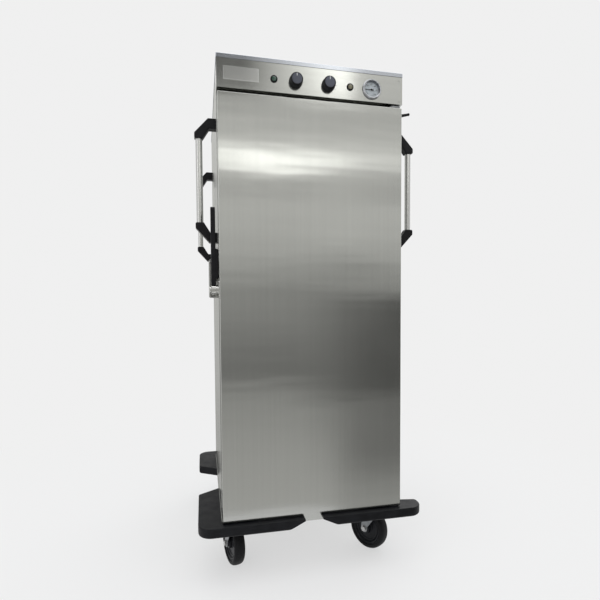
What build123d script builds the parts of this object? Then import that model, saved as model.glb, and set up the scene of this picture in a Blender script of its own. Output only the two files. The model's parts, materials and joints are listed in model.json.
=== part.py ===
from build123d import *
import math
import os

# Hot cupboard on four castors, in millimetres. The origin is on the floor under the middle
# of the footprint, +Z is up and the door faces -Y. Each function below makes one piece, or
# one group of like pieces, and the loop at the end writes one file for each.

# Cabinet
CABINET_WIDTH = 640
CABINET_BOTTOM_Z = 210
CABINET_TOP_Z = 1740
FRONT_FACE_Y = -342.5
BACK_FACE_Y = 372.5
WALL = 40
SHEET = 1.2
FOLD_GAP = 0.1
FRAME_THICKNESS = 4
LID_SKIRT = 14
SLOT_ROWS = 6
FIRST_SLOT_Z = 1652
SLOT_PITCH = 10
SLOT_HEIGHT = 4
SLOT_HALF = 40
SLOT_MIDDLES = (-60, 60, 180)

# Door, its seal and its hinges
DOOR_WIDTH = 634
DOOR_DEPTH = 45
DOOR_FRONT_Y = -397.5
DOOR_TOP_Z = 1621
SEAL_INSET = 22
SEAL_WIDTH = 12
SEAL_CLEARANCE = 0.3
HINGE_X = 299
HINGE_Y = -374.5
HINGE_PIN_RADIUS = 5
HINGE_BUSH_RADIUS = 12
HINGE_BUSH_LENGTH = 30
RUNNING_GAP = 0.05
HINGE_BRACKET_X = (275, 317)
HINGE_BRACKET_FRONT_Y = -392
HINGE_BRACKET_ROUNDING = 12
LOWER_BRACKET_TOP_Z = 209.7
UPPER_BRACKET_Z = (1623.3, 1629.3)
UPPER_BRACKET_FOOT_Z = 1603
LOWER_PIN_LENGTH = 28
UPPER_PIN_LENGTH = 32

# Control box over the door
CONTROL_BOTTOM_Z = 1633
CONTROL_ROW_Z = 1675
POWER_LAMP_X = -133
POWER_KNOB_X = -60
THERMOSTAT_X = 52
HEATING_LAMP_X = 128
THERMOMETER_X = 206
KNOB_RADIUS = 23
KNOB_FACE_RADIUS = 20
KNOB_DEPTH = 22
SPINDLE_RADIUS = 3
SPINDLE_LENGTH = 36
SPINDLE_HOLE_RADIUS = 5
LAMP_HOLE_RADIUS = 9
LAMP_BARREL_DEPTH = 24
LAMP_BORE_RADIUS = 8
BEZEL_RADIUS = 34
BEZEL_DEPTH = 6.5
CASE_RADIUS = 28
CASE_DEPTH = 26
CASE_BORE_RADIUS = 27
CASE_CLEARANCE = 0.2
GLASS_SEAT_RADIUS = 29
NAME_PLATE_SIZE = (115, 44)
NAME_PLATE_CENTRE = (-240, 1680)
GLAND_X = -220
GLAND_Z = 1680
GLAND_THREAD_RADIUS = 10
GLAND_BORE_RADIUS = 5
GLAND_NUT_RADIUS = 15
GLAND_CAP_RADIUS = 13
TRAY_Z = 1624
TRAY_THICKNESS = 1.5

# Chamber
RUNNER_COUNT = 17
RUNNER_PITCH = 72
FIRST_RUNNER_Z = 300
RUNNER_WIDTH = 20
RUNNER_THICKNESS = 3
UPRIGHT_DEPTH = 8
UPRIGHT_HALF = 8
UPRIGHT_BOTTOM_Z = 262
UPRIGHT_PLACES_Y = (-250, 0, 250)
RUNNER_HALF_LENGTH = 300
BAFFLE_Z = 1530
BAFFLE_HALF_WIDTH = 279
BAFFLE_HALF_LENGTH = 330
BAFFLE_SHEET = 1.5
BAFFLE_HOLE_PITCH = 24
BAFFLE_HOLE_RADIUS = 8
HEATER_RADIUS = 112
HEATER_TUBE_RADIUS = 4
HEATER_Z = 1552
HEATER_GAP_ANGLE = 8
HEATER_TAIL = 96
SHAFT_HOLE_RADIUS = 15
MOTOR_RADIUS = 42
MOTOR_FLANGE_RADIUS = 55
BLADE_COUNT = 12
BLADE_MIDDLE = 58
BLADE_HALF_LENGTH = 18
BLADE_SLANT = 40
BLADE_Z = (1542, 1568.5)
FAN_HUB_RADIUS = 14
FAN_HUB_BOTTOM_Z = 1548
IMPELLER_RADIUS = 80
FAN_SHAFT_RADIUS = 4

# Latch on the left edge of the door
LATCH_Y = -372.5
LATCH_Z = 988
LEVER_X = (-343, -328)
LEVER_ROOT_X = -319
LEVER_ROOT_Z = (1024, 1120)
LEVER_TOP_Z = 1257
LEVER_ROOT_HALF = 15
LEVER_GRIP_HALF = 11
LATCH_RING_RADIUS = 17
LATCH_PIN_RADIUS = 6
LATCH_PLATE_HALF = 28
LATCH_BOSS_RADIUS = 14
LATCH_CAP_RADIUS = 11
KEEPER_Z = (962, 1090)
KEEPER_OUTER_X = -350
KEEPER_BACK_Y = -290
KEEPER_SHEET = 1.6
KEEPER_ROUNDING = 6
# The leaf spring's line: place in depth, height over the keeper's bottom
SPRING_LINE = [(-292, 3), (-296, 5), (-318, 7), (-328, 17), (-338, 8)]

# Push handles
HANDLE_TUBE_RADIUS = 11
HANDLE_STAND_OFF = 56
HANDLE_CENTRE_Z = 1352
HANDLE_Y = (-320, 292.5)
HANDLE_TUBE_HALF = 150
HANDLE_TUBE_WALL = 1.5
BRACKET_WIDTH = 30
BRACKET_TIP_ROUNDING = 6
BRACKET_RIM_ROUNDING = 3
# A bracket's outline: distance out from the wall, height over the handle's middle
BRACKET_OUTLINE = [(0, 171), (0, 205), (27, 205), (72, 156), (72, 138), (45, 138), (24, 171)]

# Cord hook on the right wall
HOOK_Y = -322.5
HOOK_Z = 1621
HOOK_BASE_HALF_DEPTH = 12
HOOK_BASE_Z = (1607, 1637)
HOOK_SLOPE = (56, 0, 14)
HOOK_ROOT_RADIUS = 6.5
HOOK_TIP_RADIUS = 4.5
HOOK_BALL_RADIUS = 5.2

# Chassis, bumpers and castors
CHASSIS_BOTTOM_Z = 178
CHASSIS_TOP_Z = 206
CHASSIS_FRONT_Y = -375
CHASSIS_TUBE = 12
BUMPER_BOTTOM_Z = 172
BUMPER_SIDE_X = 398
BUMPER_END_Y = 422
BUMPER_CORNER_RADIUS = 46
BUMPER_TAIL_RADIUS = 12
BUMPER_LOWER_ROUNDING = 9
BUMPER_UPPER_ROUNDING = 3
BUMPER_BEVEL = (58, 28)
# Each buffer: where its side arm ends outside, where it ends at the wall, its inner end
LEFT_FRONT_BUMPER = (-121, -70, -40)
RIGHT_FRONT_BUMPER = (-352, -338, -23)
REAR_BUMPER = (-207, -155, -40)
GUSSET_INNER_X = 200
GUSSET_REACH = 62
GUSSET_THICKNESS = 4
KINGPIN_HOLE_RADIUS = 14
CASTOR_X = 265
CASTOR_Y = (-303, 295)
CASTOR_HEIGHT = 195
CASTOR_PLATE = (85, 105, 4)
CASTOR_PLATE_ROUNDING = 8
CASTOR_BOLT_SPACING = (30, 40)
CASTOR_BOLT_RADIUS = 4
BOLT_HEAD_RADIUS = 7.5
BOLT_HEAD_DEPTH = 5.5
NUT_DEPTH = 6
CROWN_RADIUS = 34
CROWN_BOTTOM_Z = 176
FORK_THICKNESS = 5
FORK_CLEARANCE = 4
# A fork leg's outline: distance back from the kingpin, height over the floor
FORK_LEG = [(-30, 176), (34, 176), (34, 166), (54, 80), (26, 80), (-30, 160)]
FORK_EYE_RADIUS = 15
AXLE_HEAD_RADIUS = 10
AXLE_HEAD_DEPTH = 6
WHEEL_RADIUS = 80
WHEEL_WIDTH = 40
WHEEL_CENTRE_RADIUS = 64
WHEEL_CENTRE_WIDTH = 26
WHEEL_HUB_RADIUS = 20
WHEEL_HUB_STAND_OUT = 3
WHEEL_DISH_RADII = (27, 54)
WHEEL_DISH_DEPTH = 4
TYRE_ROUNDING = 7
CASTOR_TRAIL = 40
AXLE_RADIUS = 6
KINGPIN_RADIUS = 6
# How far each castor has turned from trailing straight back, in degrees
CASTOR_TURNS = {
    "front_left": 14,
    "front_right": 31,
    "rear_left": -8,
    "rear_right": 12,
}

HALF = CABINET_WIDTH / 2
SKIN_X = HALF - SHEET - FOLD_GAP
FRAME_BACK_Y = FRONT_FACE_Y + FRAME_THICKNESS
CHAMBER_X = HALF - WALL
CHAMBER_BACK_Y = BACK_FACE_Y - WALL
CHAMBER_FLOOR_Z = CABINET_BOTTOM_Z + WALL
CHAMBER_TOP_Z = DOOR_TOP_Z - WALL
DOOR_BACK_Y = DOOR_FRONT_Y + DOOR_DEPTH
FASCIA_FRONT_Y = DOOR_FRONT_Y + SHEET + FOLD_GAP
BACK_PANEL_Y = BACK_FACE_Y - SHEET


def block(x, y, z):
    """A box between a lower and an upper limit on each axis."""
    size = [high - low for low, high in (x, y, z)]
    centre = [(high + low) / 2 for low, high in (x, y, z)]
    return Pos(*centre) * Box(*size)


def rod(start, direction, radius, length):
    """A round bar that starts at a point and runs in a direction."""
    along = (Align.CENTER, Align.CENTER, Align.MIN)
    return Plane(origin=start, z_dir=direction) * Cylinder(radius, length, align=along)


def cone(start, direction, bottom, top, length):
    """A round bar that tapers along its direction."""
    along = (Align.CENTER, Align.CENTER, Align.MIN)
    return Plane(origin=start, z_dir=direction) * Cone(bottom, top, length, align=along)


def prism(points, plane, depth):
    """A closed outline of straight edges, given the depth of a slab."""
    return extrude(plane * make_face(Polyline(*points, close=True)), depth)


def group(pieces):
    """Separate solids that are kept as one node."""
    return Compound([solid for piece in pieces for solid in piece.solids()])


def mirrored(piece):
    """The same piece on the other side of the cabinet."""
    return mirror(piece, about=Plane.YZ)


def corner_castors():
    """Each castor's name with the place of its kingpin and its turn."""
    for depth, y in zip(("front", "rear"), CASTOR_Y):
        for side, x in (("left", -CASTOR_X), ("right", CASTOR_X)):
            name = f"{depth}_{side}"
            yield name, x, y, CASTOR_TURNS[name]


# Cabinet shell


def side_panels():
    """Two flat outer walls, from the front frame to the back panel."""
    walls = block(
        (SKIN_X - SHEET, SKIN_X),
        (FRAME_BACK_Y, BACK_PANEL_Y - FOLD_GAP),
        (CABINET_BOTTOM_Z, CABINET_TOP_Z - SHEET - FOLD_GAP),
    )
    return group([walls, mirrored(walls)])


def back_panel():
    """The rear wall, with air slots and a cable hole level with the control box."""
    panel = block(
        (-SKIN_X, SKIN_X),
        (BACK_PANEL_Y, BACK_FACE_Y),
        (CABINET_BOTTOM_Z, CABINET_TOP_Z - SHEET - FOLD_GAP),
    )
    cut = (BACK_PANEL_Y - 10, BACK_FACE_Y + 10)
    for row in range(SLOT_ROWS):
        low = FIRST_SLOT_Z + SLOT_PITCH * row
        for middle in SLOT_MIDDLES:
            sides = (middle - SLOT_HALF, middle + SLOT_HALF)
            panel -= block(sides, cut, (low, low + SLOT_HEIGHT))
    return panel - rod((GLAND_X, cut[0], GLAND_Z), (0, 1, 0), GLAND_THREAD_RADIUS, 20 + SHEET)


def base_panel():
    """The floor plate of the cabinet, lying on the chassis."""
    return block(
        (-SKIN_X, SKIN_X), (FRONT_FACE_Y, BACK_FACE_Y), (CHASSIS_TOP_Z, CABINET_BOTTOM_Z)
    )


def top_lid():
    """A shallow lid, folded down over the fascia and the walls."""
    back = BACK_FACE_Y + FOLD_GAP + SHEET
    outer = block((-HALF, HALF), (DOOR_FRONT_Y, back), (CABINET_TOP_Z - LID_SKIRT, CABINET_TOP_Z))
    outer = fillet(outer.edges().filter_by(Axis.Z), 3)
    outer = fillet(outer.faces().sort_by(Axis.Z)[-1].edges(), 2)
    hollow = block(
        (SHEET - HALF, HALF - SHEET),
        (DOOR_FRONT_Y + SHEET, back - SHEET),
        (CABINET_TOP_Z - LID_SKIRT - 1, CABINET_TOP_Z - SHEET),
    )
    return outer - hollow


def front_frame():
    """The frame round the chamber's mouth that the door seals against."""
    plate = block(
        (-SKIN_X, SKIN_X), (FRONT_FACE_Y, FRAME_BACK_Y), (CABINET_BOTTOM_Z, CONTROL_BOTTOM_Z)
    )
    return plate - block(
        (-CHAMBER_X, CHAMBER_X),
        (FRONT_FACE_Y - 1, FRAME_BACK_Y + 1),
        (CHAMBER_FLOOR_Z, CHAMBER_TOP_Z),
    )


def liner():
    """The chamber's inner skin, open at the front, with holes for the fan and the heater."""
    outer = block(
        (-CHAMBER_X - SHEET, CHAMBER_X + SHEET),
        (FRAME_BACK_Y, CHAMBER_BACK_Y + SHEET),
        (CHAMBER_FLOOR_Z - SHEET, CHAMBER_TOP_Z + SHEET),
    )
    hollow = block(
        (-CHAMBER_X, CHAMBER_X),
        (FRONT_FACE_Y, CHAMBER_BACK_Y),
        (CHAMBER_FLOOR_Z, CHAMBER_TOP_Z),
    )
    return outer - hollow - ceiling_holes()


def ceiling_holes():
    """The passages through the ceiling for the fan shaft and the heater's two ends."""
    low = CHAMBER_TOP_Z - 10
    height = TRAY_Z + TRAY_THICKNESS + 10 - low
    holes = rod((0, 0, low), (0, 0, 1), SHAFT_HOLE_RADIUS, height)
    for x, y in heater_ends():
        holes += rod((x, y, low), (0, 0, 1), HEATER_TUBE_RADIUS + 2 * FOLD_GAP, height)
    return holes


def insulation():
    """Five slabs of mineral wool between the liner and the outer walls."""
    inside = SKIN_X - SHEET - 2 * FOLD_GAP
    liner_x = CHAMBER_X + SHEET + FOLD_GAP
    low_z = CHAMBER_FLOOR_Z - SHEET - FOLD_GAP
    high_z = CHAMBER_TOP_Z + SHEET + FOLD_GAP
    front = FRAME_BACK_Y + FOLD_GAP
    back = BACK_PANEL_Y - 2 * FOLD_GAP
    side = block((liner_x, inside), (front, back), (low_z, high_z))
    rear = block(
        (FOLD_GAP - liner_x, liner_x - FOLD_GAP),
        (CHAMBER_BACK_Y + SHEET + FOLD_GAP, back),
        (low_z, high_z),
    )
    floor = block((-inside, inside), (front, back), (CABINET_BOTTOM_Z + FOLD_GAP, low_z))
    roof = block((-inside, inside), (front, back), (high_z, TRAY_Z - FOLD_GAP))
    return group([side, mirrored(side), rear, floor, roof - ceiling_holes()])


# Chassis, bumpers and handles


def chassis_frame():
    """A rectangle of steel tube with a gusset plate in each corner for a castor."""
    z = (CHASSIS_BOTTOM_Z, CHASSIS_TOP_Z)
    inner_x = HALF - CHASSIS_TUBE
    inner_front = CHASSIS_FRONT_Y + CHASSIS_TUBE
    inner_back = BACK_FACE_Y - CHASSIS_TUBE
    frame = block((-HALF, HALF), (CHASSIS_FRONT_Y, BACK_FACE_Y), z)
    through = (CHASSIS_BOTTOM_Z - 1, CHASSIS_TOP_Z + 1)
    frame -= block((-inner_x, inner_x), (inner_front, inner_back), through)
    for _, x, y, _ in corner_castors():
        ends = (inner_front, y + GUSSET_REACH) if y < 0 else (y - GUSSET_REACH, inner_back)
        sides = sorted((math.copysign(GUSSET_INNER_X, x), math.copysign(inner_x, x)))
        gusset = block(sides, ends, (CASTOR_HEIGHT, CASTOR_HEIGHT + GUSSET_THICKNESS))
        gusset -= Pos(x, y, CASTOR_HEIGHT) * Cylinder(KINGPIN_HOLE_RADIUS, 20)
        for bolt_x, bolt_y in castor_bolt_places(x, y):
            gusset -= Pos(bolt_x, bolt_y, CASTOR_HEIGHT) * Cylinder(CASTOR_BOLT_RADIUS, 20)
        frame += gusset
    return frame


def outer_rim(piece, z, arm_end):
    """The edges at one height along a buffer's outer faces and round its corner."""
    reach = BUMPER_CORNER_RADIUS / 3
    rim = []
    for edge in piece.edges():
        middle = edge @ 0.5
        outside = middle.Y < reach - BUMPER_END_Y or middle.X < reach - BUMPER_SIDE_X
        if outside and middle.Y < arm_end - 2 and abs(middle.Z - z) < 0.01:
            rim.append(edge)
    return rim


def bumper(front, arm_end, wall_end, inner_end):
    """A corner buffer: an L in plan, with its corner rounded and its free end bevelled below.

    It is drawn for the left side. The front arm lies along the chassis, the side arm along
    the wall, and the side arm's end is cut back from the wall to its outer edge.
    """
    back = CHASSIS_FRONT_Y if front else -BACK_FACE_Y
    outline = [
        (-BUMPER_SIDE_X, -BUMPER_END_Y),
        (inner_end, -BUMPER_END_Y),
        (inner_end, back),
        (-HALF, back),
        (-HALF, wall_end),
        (-BUMPER_SIDE_X, arm_end),
    ]
    height = CHASSIS_TOP_Z - BUMPER_BOTTOM_Z
    piece = prism(outline, Plane.XY.offset(BUMPER_BOTTOM_Z), height)
    for y, radius in ((-BUMPER_END_Y, BUMPER_CORNER_RADIUS), (arm_end, BUMPER_TAIL_RADIUS)):
        upright = piece.edges().filter_by(Axis.Z)
        middle = (-BUMPER_SIDE_X, y, BUMPER_BOTTOM_Z + height / 2)
        piece = fillet(upright.sort_by_distance(middle)[0], radius)
    piece = fillet(outer_rim(piece, BUMPER_BOTTOM_Z, arm_end), BUMPER_LOWER_ROUNDING)
    piece = fillet(outer_rim(piece, CHASSIS_TOP_Z, arm_end), BUMPER_UPPER_ROUNDING)
    length, rise = BUMPER_BEVEL
    bevel = [
        (inner_end + 1, BUMPER_BOTTOM_Z - 1),
        (inner_end + 1, BUMPER_BOTTOM_Z + rise),
        (inner_end - length, BUMPER_BOTTOM_Z),
        (inner_end - length, BUMPER_BOTTOM_Z - 1),
    ]
    return piece - prism(bevel, Plane.XZ.offset(-back - 15), 90)


def front_bumpers():
    """The two front buffers; the one on the hinge side has a short side arm."""
    left = bumper(True, *LEFT_FRONT_BUMPER)
    right = bumper(True, *RIGHT_FRONT_BUMPER)
    return group([left, mirrored(right)])


def rear_bumpers():
    """The two rear buffers, which are the front pattern turned round."""
    left = mirror(bumper(False, *REAR_BUMPER), about=Plane.XZ)
    return group([left, mirrored(left)])


def handle_tubes():
    """Four upright steel tubes to push the cupboard by."""
    tubes = []
    for y in HANDLE_Y:
        start = (-HALF - HANDLE_STAND_OFF, y, HANDLE_CENTRE_Z - HANDLE_TUBE_HALF)
        tube = rod(start, (0, 0, 1), HANDLE_TUBE_RADIUS, 2 * HANDLE_TUBE_HALF)
        tube -= rod(start, (0, 0, 1), HANDLE_TUBE_RADIUS - HANDLE_TUBE_WALL, 2 * HANDLE_TUBE_HALF)
        tubes += [tube, mirrored(tube)]
    return group(tubes)


def handle_brackets():
    """Eight moulded ends that hold the tubes off the walls."""
    wall_x = -SKIN_X
    outline = [(wall_x - out, HANDLE_CENTRE_Z + up) for out, up in BRACKET_OUTLINE]
    brackets = []
    for y in HANDLE_Y:
        upper = prism(outline, Plane.XZ.offset(-y - BRACKET_WIDTH / 2), BRACKET_WIDTH)
        tip = upper.edges().filter_by(Axis.Y).sort_by(Axis.X)[:2]
        upper = fillet(tip, BRACKET_TIP_ROUNDING)
        rims = [edge for edge in upper.edges() if abs(edge.tangent_at(0).Y) < 0.01]
        rims = [edge for edge in rims if (edge @ 0.5).X < wall_x - 1]
        upper = fillet(rims, BRACKET_RIM_ROUNDING)
        start = (-HALF - HANDLE_STAND_OFF, y, HANDLE_CENTRE_Z)
        upper -= rod(start, (0, 0, 1), HANDLE_TUBE_RADIUS, HANDLE_TUBE_HALF)
        lower = mirror(upper, about=Plane.XY.offset(HANDLE_CENTRE_Z))
        brackets += [upper, lower, mirrored(upper), mirrored(lower)]
    return group(brackets)


def cord_hook():
    """A rubber peg on the right wall to hang the supply cord on."""
    root = Vector(SKIN_X + 2, HOOK_Y, HOOK_Z)
    slope = Vector(*HOOK_SLOPE)
    depth = (HOOK_Y - HOOK_BASE_HALF_DEPTH, HOOK_Y + HOOK_BASE_HALF_DEPTH)
    base = block((SKIN_X, SKIN_X + 4), depth, HOOK_BASE_Z)
    peg = cone(root, slope, HOOK_ROOT_RADIUS, HOOK_TIP_RADIUS, slope.length)
    return base + peg + Pos(root + slope) * Sphere(HOOK_BALL_RADIUS)


# Castors


def castor_bolt_places(x, y):
    """The four bolt holes of one castor plate."""
    across, along = CASTOR_BOLT_SPACING
    return [(x + dx, y + dy) for dx in (-across, across) for dy in (-along, along)]


def castor_plates():
    """Four top plates, bored for the kingpin and for four bolts each."""
    width, length, thickness = CASTOR_PLATE
    plates = []
    for _, x, y, _ in corner_castors():
        plate = Pos(x, y, CASTOR_HEIGHT - thickness / 2) * Box(width, length, thickness)
        plate = fillet(plate.edges().filter_by(Axis.Z), CASTOR_PLATE_ROUNDING)
        plate -= Pos(x, y, CASTOR_HEIGHT) * Cylinder(KINGPIN_RADIUS + RUNNING_GAP, 20)
        for bolt_x, bolt_y in castor_bolt_places(x, y):
            plate -= Pos(bolt_x, bolt_y, CASTOR_HEIGHT) * Cylinder(CASTOR_BOLT_RADIUS, 20)
        plates.append(plate)
    return group(plates)


def castor_bolts():
    """Sixteen bolts with their nuts, which hold the castor plates to the gussets."""
    hexagon = RegularPolygon(BOLT_HEAD_RADIUS, 6)
    low = CASTOR_HEIGHT - CASTOR_PLATE[2] - BOLT_HEAD_DEPTH
    nut_low = CASTOR_HEIGHT + GUSSET_THICKNESS
    length = nut_low + NUT_DEPTH + 0.3 - low
    bolts = []
    for _, x, y, _ in corner_castors():
        for bolt_x, bolt_y in castor_bolt_places(x, y):
            shank = rod((bolt_x, bolt_y, low), (0, 0, 1), CASTOR_BOLT_RADIUS, length)
            head = extrude(Pos(bolt_x, bolt_y, low) * hexagon, BOLT_HEAD_DEPTH)
            nut = extrude(Pos(bolt_x, bolt_y, nut_low) * hexagon, NUT_DEPTH)
            bolts.append(shank + head + nut)
    return group(bolts)


def castor_fork(x, y, turn):
    """A swivel crown with its kingpin and two tapered legs, and the bolt through the wheel."""
    top = CASTOR_HEIGHT - CASTOR_PLATE[2] - 0.3
    low = CROWN_BOTTOM_Z
    inner = WHEEL_WIDTH / 2 + FORK_CLEARANCE
    outer = inner + FORK_THICKNESS
    crown = rod((0, 0, low), (0, 0, 1), CROWN_RADIUS, top - low)
    kingpin = rod((0, 0, low), (0, 0, 1), KINGPIN_RADIUS, CASTOR_HEIGHT - 0.5 - low)
    bridge = block((-outer, outer), (-CROWN_RADIUS + 2, CROWN_RADIUS), (low - FORK_THICKNESS, low))
    leg = prism(FORK_LEG, Plane.YZ.offset(inner), FORK_THICKNESS)
    leg += rod((inner, CASTOR_TRAIL, WHEEL_RADIUS), (1, 0, 0), FORK_EYE_RADIUS, FORK_THICKNESS)
    fork = crown + kingpin + bridge + leg + mirrored(leg)
    axle_start = (-outer, CASTOR_TRAIL, WHEEL_RADIUS)
    axle = rod(axle_start, (1, 0, 0), AXLE_RADIUS, 2 * outer)
    fork -= axle
    for side in (-1, 1):
        start = (side * outer, CASTOR_TRAIL, WHEEL_RADIUS)
        axle += rod(start, (side, 0, 0), AXLE_HEAD_RADIUS, AXLE_HEAD_DEPTH)
    return group([Pos(x, y, 0) * Rot(0, 0, turn) * piece for piece in (fork, axle)])


def castor_wheel(x, y, turn):
    """A wheel centre with its hub, and the tyre round it."""
    middle = Pos(0, CASTOR_TRAIL, WHEEL_RADIUS) * Rot(0, 90, 0)
    disc = Cylinder(WHEEL_CENTRE_RADIUS, WHEEL_CENTRE_WIDTH)
    centre = disc + Cylinder(WHEEL_HUB_RADIUS, WHEEL_WIDTH + 2 * WHEEL_HUB_STAND_OUT)
    centre -= Cylinder(AXLE_RADIUS + RUNNING_GAP, 2 * WHEEL_WIDTH)
    inner, outer = WHEEL_DISH_RADII
    dish = Cylinder(outer, 2 * WHEEL_DISH_DEPTH) - Cylinder(inner, 2 * WHEEL_DISH_DEPTH)
    for face in (-1, 1):
        centre -= Pos(0, 0, face * WHEEL_CENTRE_WIDTH / 2) * dish
    tyre = fillet(Cylinder(WHEEL_RADIUS, WHEEL_WIDTH).edges(), TYRE_ROUNDING)
    tyre -= Cylinder(WHEEL_CENTRE_RADIUS, 2 * WHEEL_WIDTH)
    return group([Pos(x, y, 0) * Rot(0, 0, turn) * middle * piece for piece in (centre, tyre)])


# Door and latch


def door_outer_skin():
    """The outer pan of the door, with its edges folded back and two round hinge holes."""
    x = DOOR_WIDTH / 2
    pan = block((-x, x), (DOOR_FRONT_Y, DOOR_BACK_Y), (CABINET_BOTTOM_Z, DOOR_TOP_Z))
    pan = fillet(pan.faces().sort_by(Axis.Y)[0].edges(), 2)
    pan -= block(
        (SHEET - x, x - SHEET),
        (DOOR_FRONT_Y + SHEET, DOOR_BACK_Y + 1),
        (CABINET_BOTTOM_Z + SHEET, DOOR_TOP_Z - SHEET),
    )
    low = CABINET_BOTTOM_Z - 10
    return pan - rod((HINGE_X, HINGE_Y, low), (0, 0, 1), HINGE_BUSH_RADIUS, DOOR_TOP_Z + 10 - low)


def door_inner_skin():
    """The flat sheet that closes the back of the door."""
    x = DOOR_WIDTH / 2 - SHEET - FOLD_GAP
    low = CABINET_BOTTOM_Z + SHEET + FOLD_GAP
    high = DOOR_TOP_Z - SHEET - FOLD_GAP
    return block((-x, x), (DOOR_BACK_Y - SHEET, DOOR_BACK_Y), (low, high))


def door_insulation():
    """The slab inside the door, cut out for the hinge bushes."""
    x = DOOR_WIDTH / 2 - SHEET - FOLD_GAP
    low = CABINET_BOTTOM_Z + SHEET + FOLD_GAP
    high = DOOR_TOP_Z - SHEET - FOLD_GAP
    y = (DOOR_FRONT_Y + SHEET + FOLD_GAP, DOOR_BACK_Y - SHEET - FOLD_GAP)
    slab = block((-x, x), y, (low, high))
    depth = HINGE_BUSH_LENGTH + FOLD_GAP
    pocket = HINGE_BUSH_RADIUS + FOLD_GAP
    slab -= rod((HINGE_X, HINGE_Y, CABINET_BOTTOM_Z), (0, 0, 1), pocket, depth)
    return slab - rod((HINGE_X, HINGE_Y, DOOR_TOP_Z), (0, 0, -1), pocket, depth)


def door_gasket():
    """The rubber seal, a frame on the inside of the door."""
    x = DOOR_WIDTH / 2 - SEAL_INSET
    low = CABINET_BOTTOM_Z + SEAL_INSET - 2
    high = DOOR_TOP_Z - SEAL_INSET
    y = (DOOR_BACK_Y, FRONT_FACE_Y - SEAL_CLEARANCE)
    seal = block((-x, x), y, (low, high))
    return seal - block(
        (SEAL_WIDTH - x, x - SEAL_WIDTH),
        (DOOR_BACK_Y - 1, FRONT_FACE_Y + 1),
        (low + SEAL_WIDTH, high - SEAL_WIDTH),
    )


def hinge_bushes():
    """Two nylon bushes, let into the bottom and the top edge of the door."""
    bushes = []
    for z, up in ((CABINET_BOTTOM_Z, 1), (DOOR_TOP_Z, -1)):
        bush = rod((HINGE_X, HINGE_Y, z), (0, 0, up), HINGE_BUSH_RADIUS, HINGE_BUSH_LENGTH)
        bush -= rod((HINGE_X, HINGE_Y, z), (0, 0, up), HINGE_PIN_RADIUS + RUNNING_GAP, HINGE_BUSH_LENGTH - 4)
        bushes.append(bush)
    return group(bushes)


def hinge_brackets():
    """Two brackets, under and over the door, each with a pin pressed into it."""
    x = HINGE_BRACKET_X
    depth = (HINGE_BRACKET_FRONT_Y, FRONT_FACE_Y)
    low, high = UPPER_BRACKET_Z
    lower_plate = block(x, depth, (CHASSIS_TOP_Z, LOWER_BRACKET_TOP_Z))
    upper_plate = block(x, depth, (low, high))
    upper_plate += block(x, (FRONT_FACE_Y - 2, FRONT_FACE_Y), (UPPER_BRACKET_FOOT_Z, high))
    corners = lower_plate.edges().filter_by(Axis.Z).sort_by(Axis.Y)[:2]
    lower_plate = fillet(corners, HINGE_BRACKET_ROUNDING)
    corners = upper_plate.edges().filter_by(Axis.Z).sort_by(Axis.Y)[:2]
    upper_plate = fillet(corners, HINGE_BRACKET_ROUNDING)
    lower_start = (HINGE_X, HINGE_Y, CHASSIS_TOP_Z)
    upper_start = (HINGE_X, HINGE_Y, high)
    lower_pin = rod(lower_start, (0, 0, 1), HINGE_PIN_RADIUS, LOWER_PIN_LENGTH)
    upper_pin = rod(upper_start, (0, 0, -1), HINGE_PIN_RADIUS, UPPER_PIN_LENGTH)
    upper_pin += rod(upper_start, (0, 0, 1), HINGE_PIN_RADIUS + 3, 3)
    return group([lower_plate - lower_pin, upper_plate - upper_pin, lower_pin, upper_pin])


def latch_base():
    """The plate on the door's edge with the steel boss that the lever turns on."""
    edge_x = -DOOR_WIDTH / 2
    plate = block(
        (edge_x - 3, edge_x),
        (LATCH_Y - 21.5, LATCH_Y + 16.5),
        (LATCH_Z - LATCH_PLATE_HALF, LATCH_Z + LATCH_PLATE_HALF),
    )
    plate = fillet(plate.edges().filter_by(Axis.X), 4)
    start = (edge_x - 3, LATCH_Y, LATCH_Z)
    boss = rod(start, (-1, 0, 0), LATCH_BOSS_RADIUS, 8)
    pin = rod(start, (-1, 0, 0), LATCH_PIN_RADIUS, 27)
    cap = rod((edge_x - 27.5, LATCH_Y, LATCH_Z), (-1, 0, 0), LATCH_CAP_RADIUS, 4)
    return plate + boss + pin + cap


def latch_lever():
    """The lever: a ring on the boss, a broad, thick root and a narrower, thinner grip."""
    outer_x, inner_x = LEVER_X
    root_low, root_high = LEVER_ROOT_Z
    right_half = [
        (LEVER_ROOT_HALF, LATCH_Z),
        (LEVER_ROOT_HALF, root_high),
        (LEVER_GRIP_HALF, root_high + 12),
        (LEVER_GRIP_HALF, LEVER_TOP_Z),
    ]
    outline = [(LATCH_Y - out, z) for out, z in right_half]
    outline += [(LATCH_Y + out, z) for out, z in reversed(right_half)]
    lever = prism(outline, Plane.YZ.offset(outer_x), inner_x - outer_x)
    lever = fillet(lever.edges().filter_by(Axis.X).sort_by(Axis.Z)[-2:], 9)
    lever = fillet([edge for edge in lever.edges() if (edge @ 0.5).Z > LATCH_Z + 10], 2.5)
    root = block(
        (outer_x + 5, LEVER_ROOT_X),
        (LATCH_Y - LEVER_ROOT_HALF + 1, LATCH_Y + LEVER_ROOT_HALF - 1),
        (root_low, root_high),
    )
    root = fillet(root.faces().sort_by(Axis.X)[-1].edges(), 4)
    lever += root
    start = (outer_x, LATCH_Y, LATCH_Z)
    lever += rod(start, (1, 0, 0), LATCH_RING_RADIUS, inner_x - outer_x)
    bore = LATCH_PIN_RADIUS + RUNNING_GAP
    return lever - rod((outer_x - 1, LATCH_Y, LATCH_Z), (1, 0, 0), bore, 30)


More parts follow.
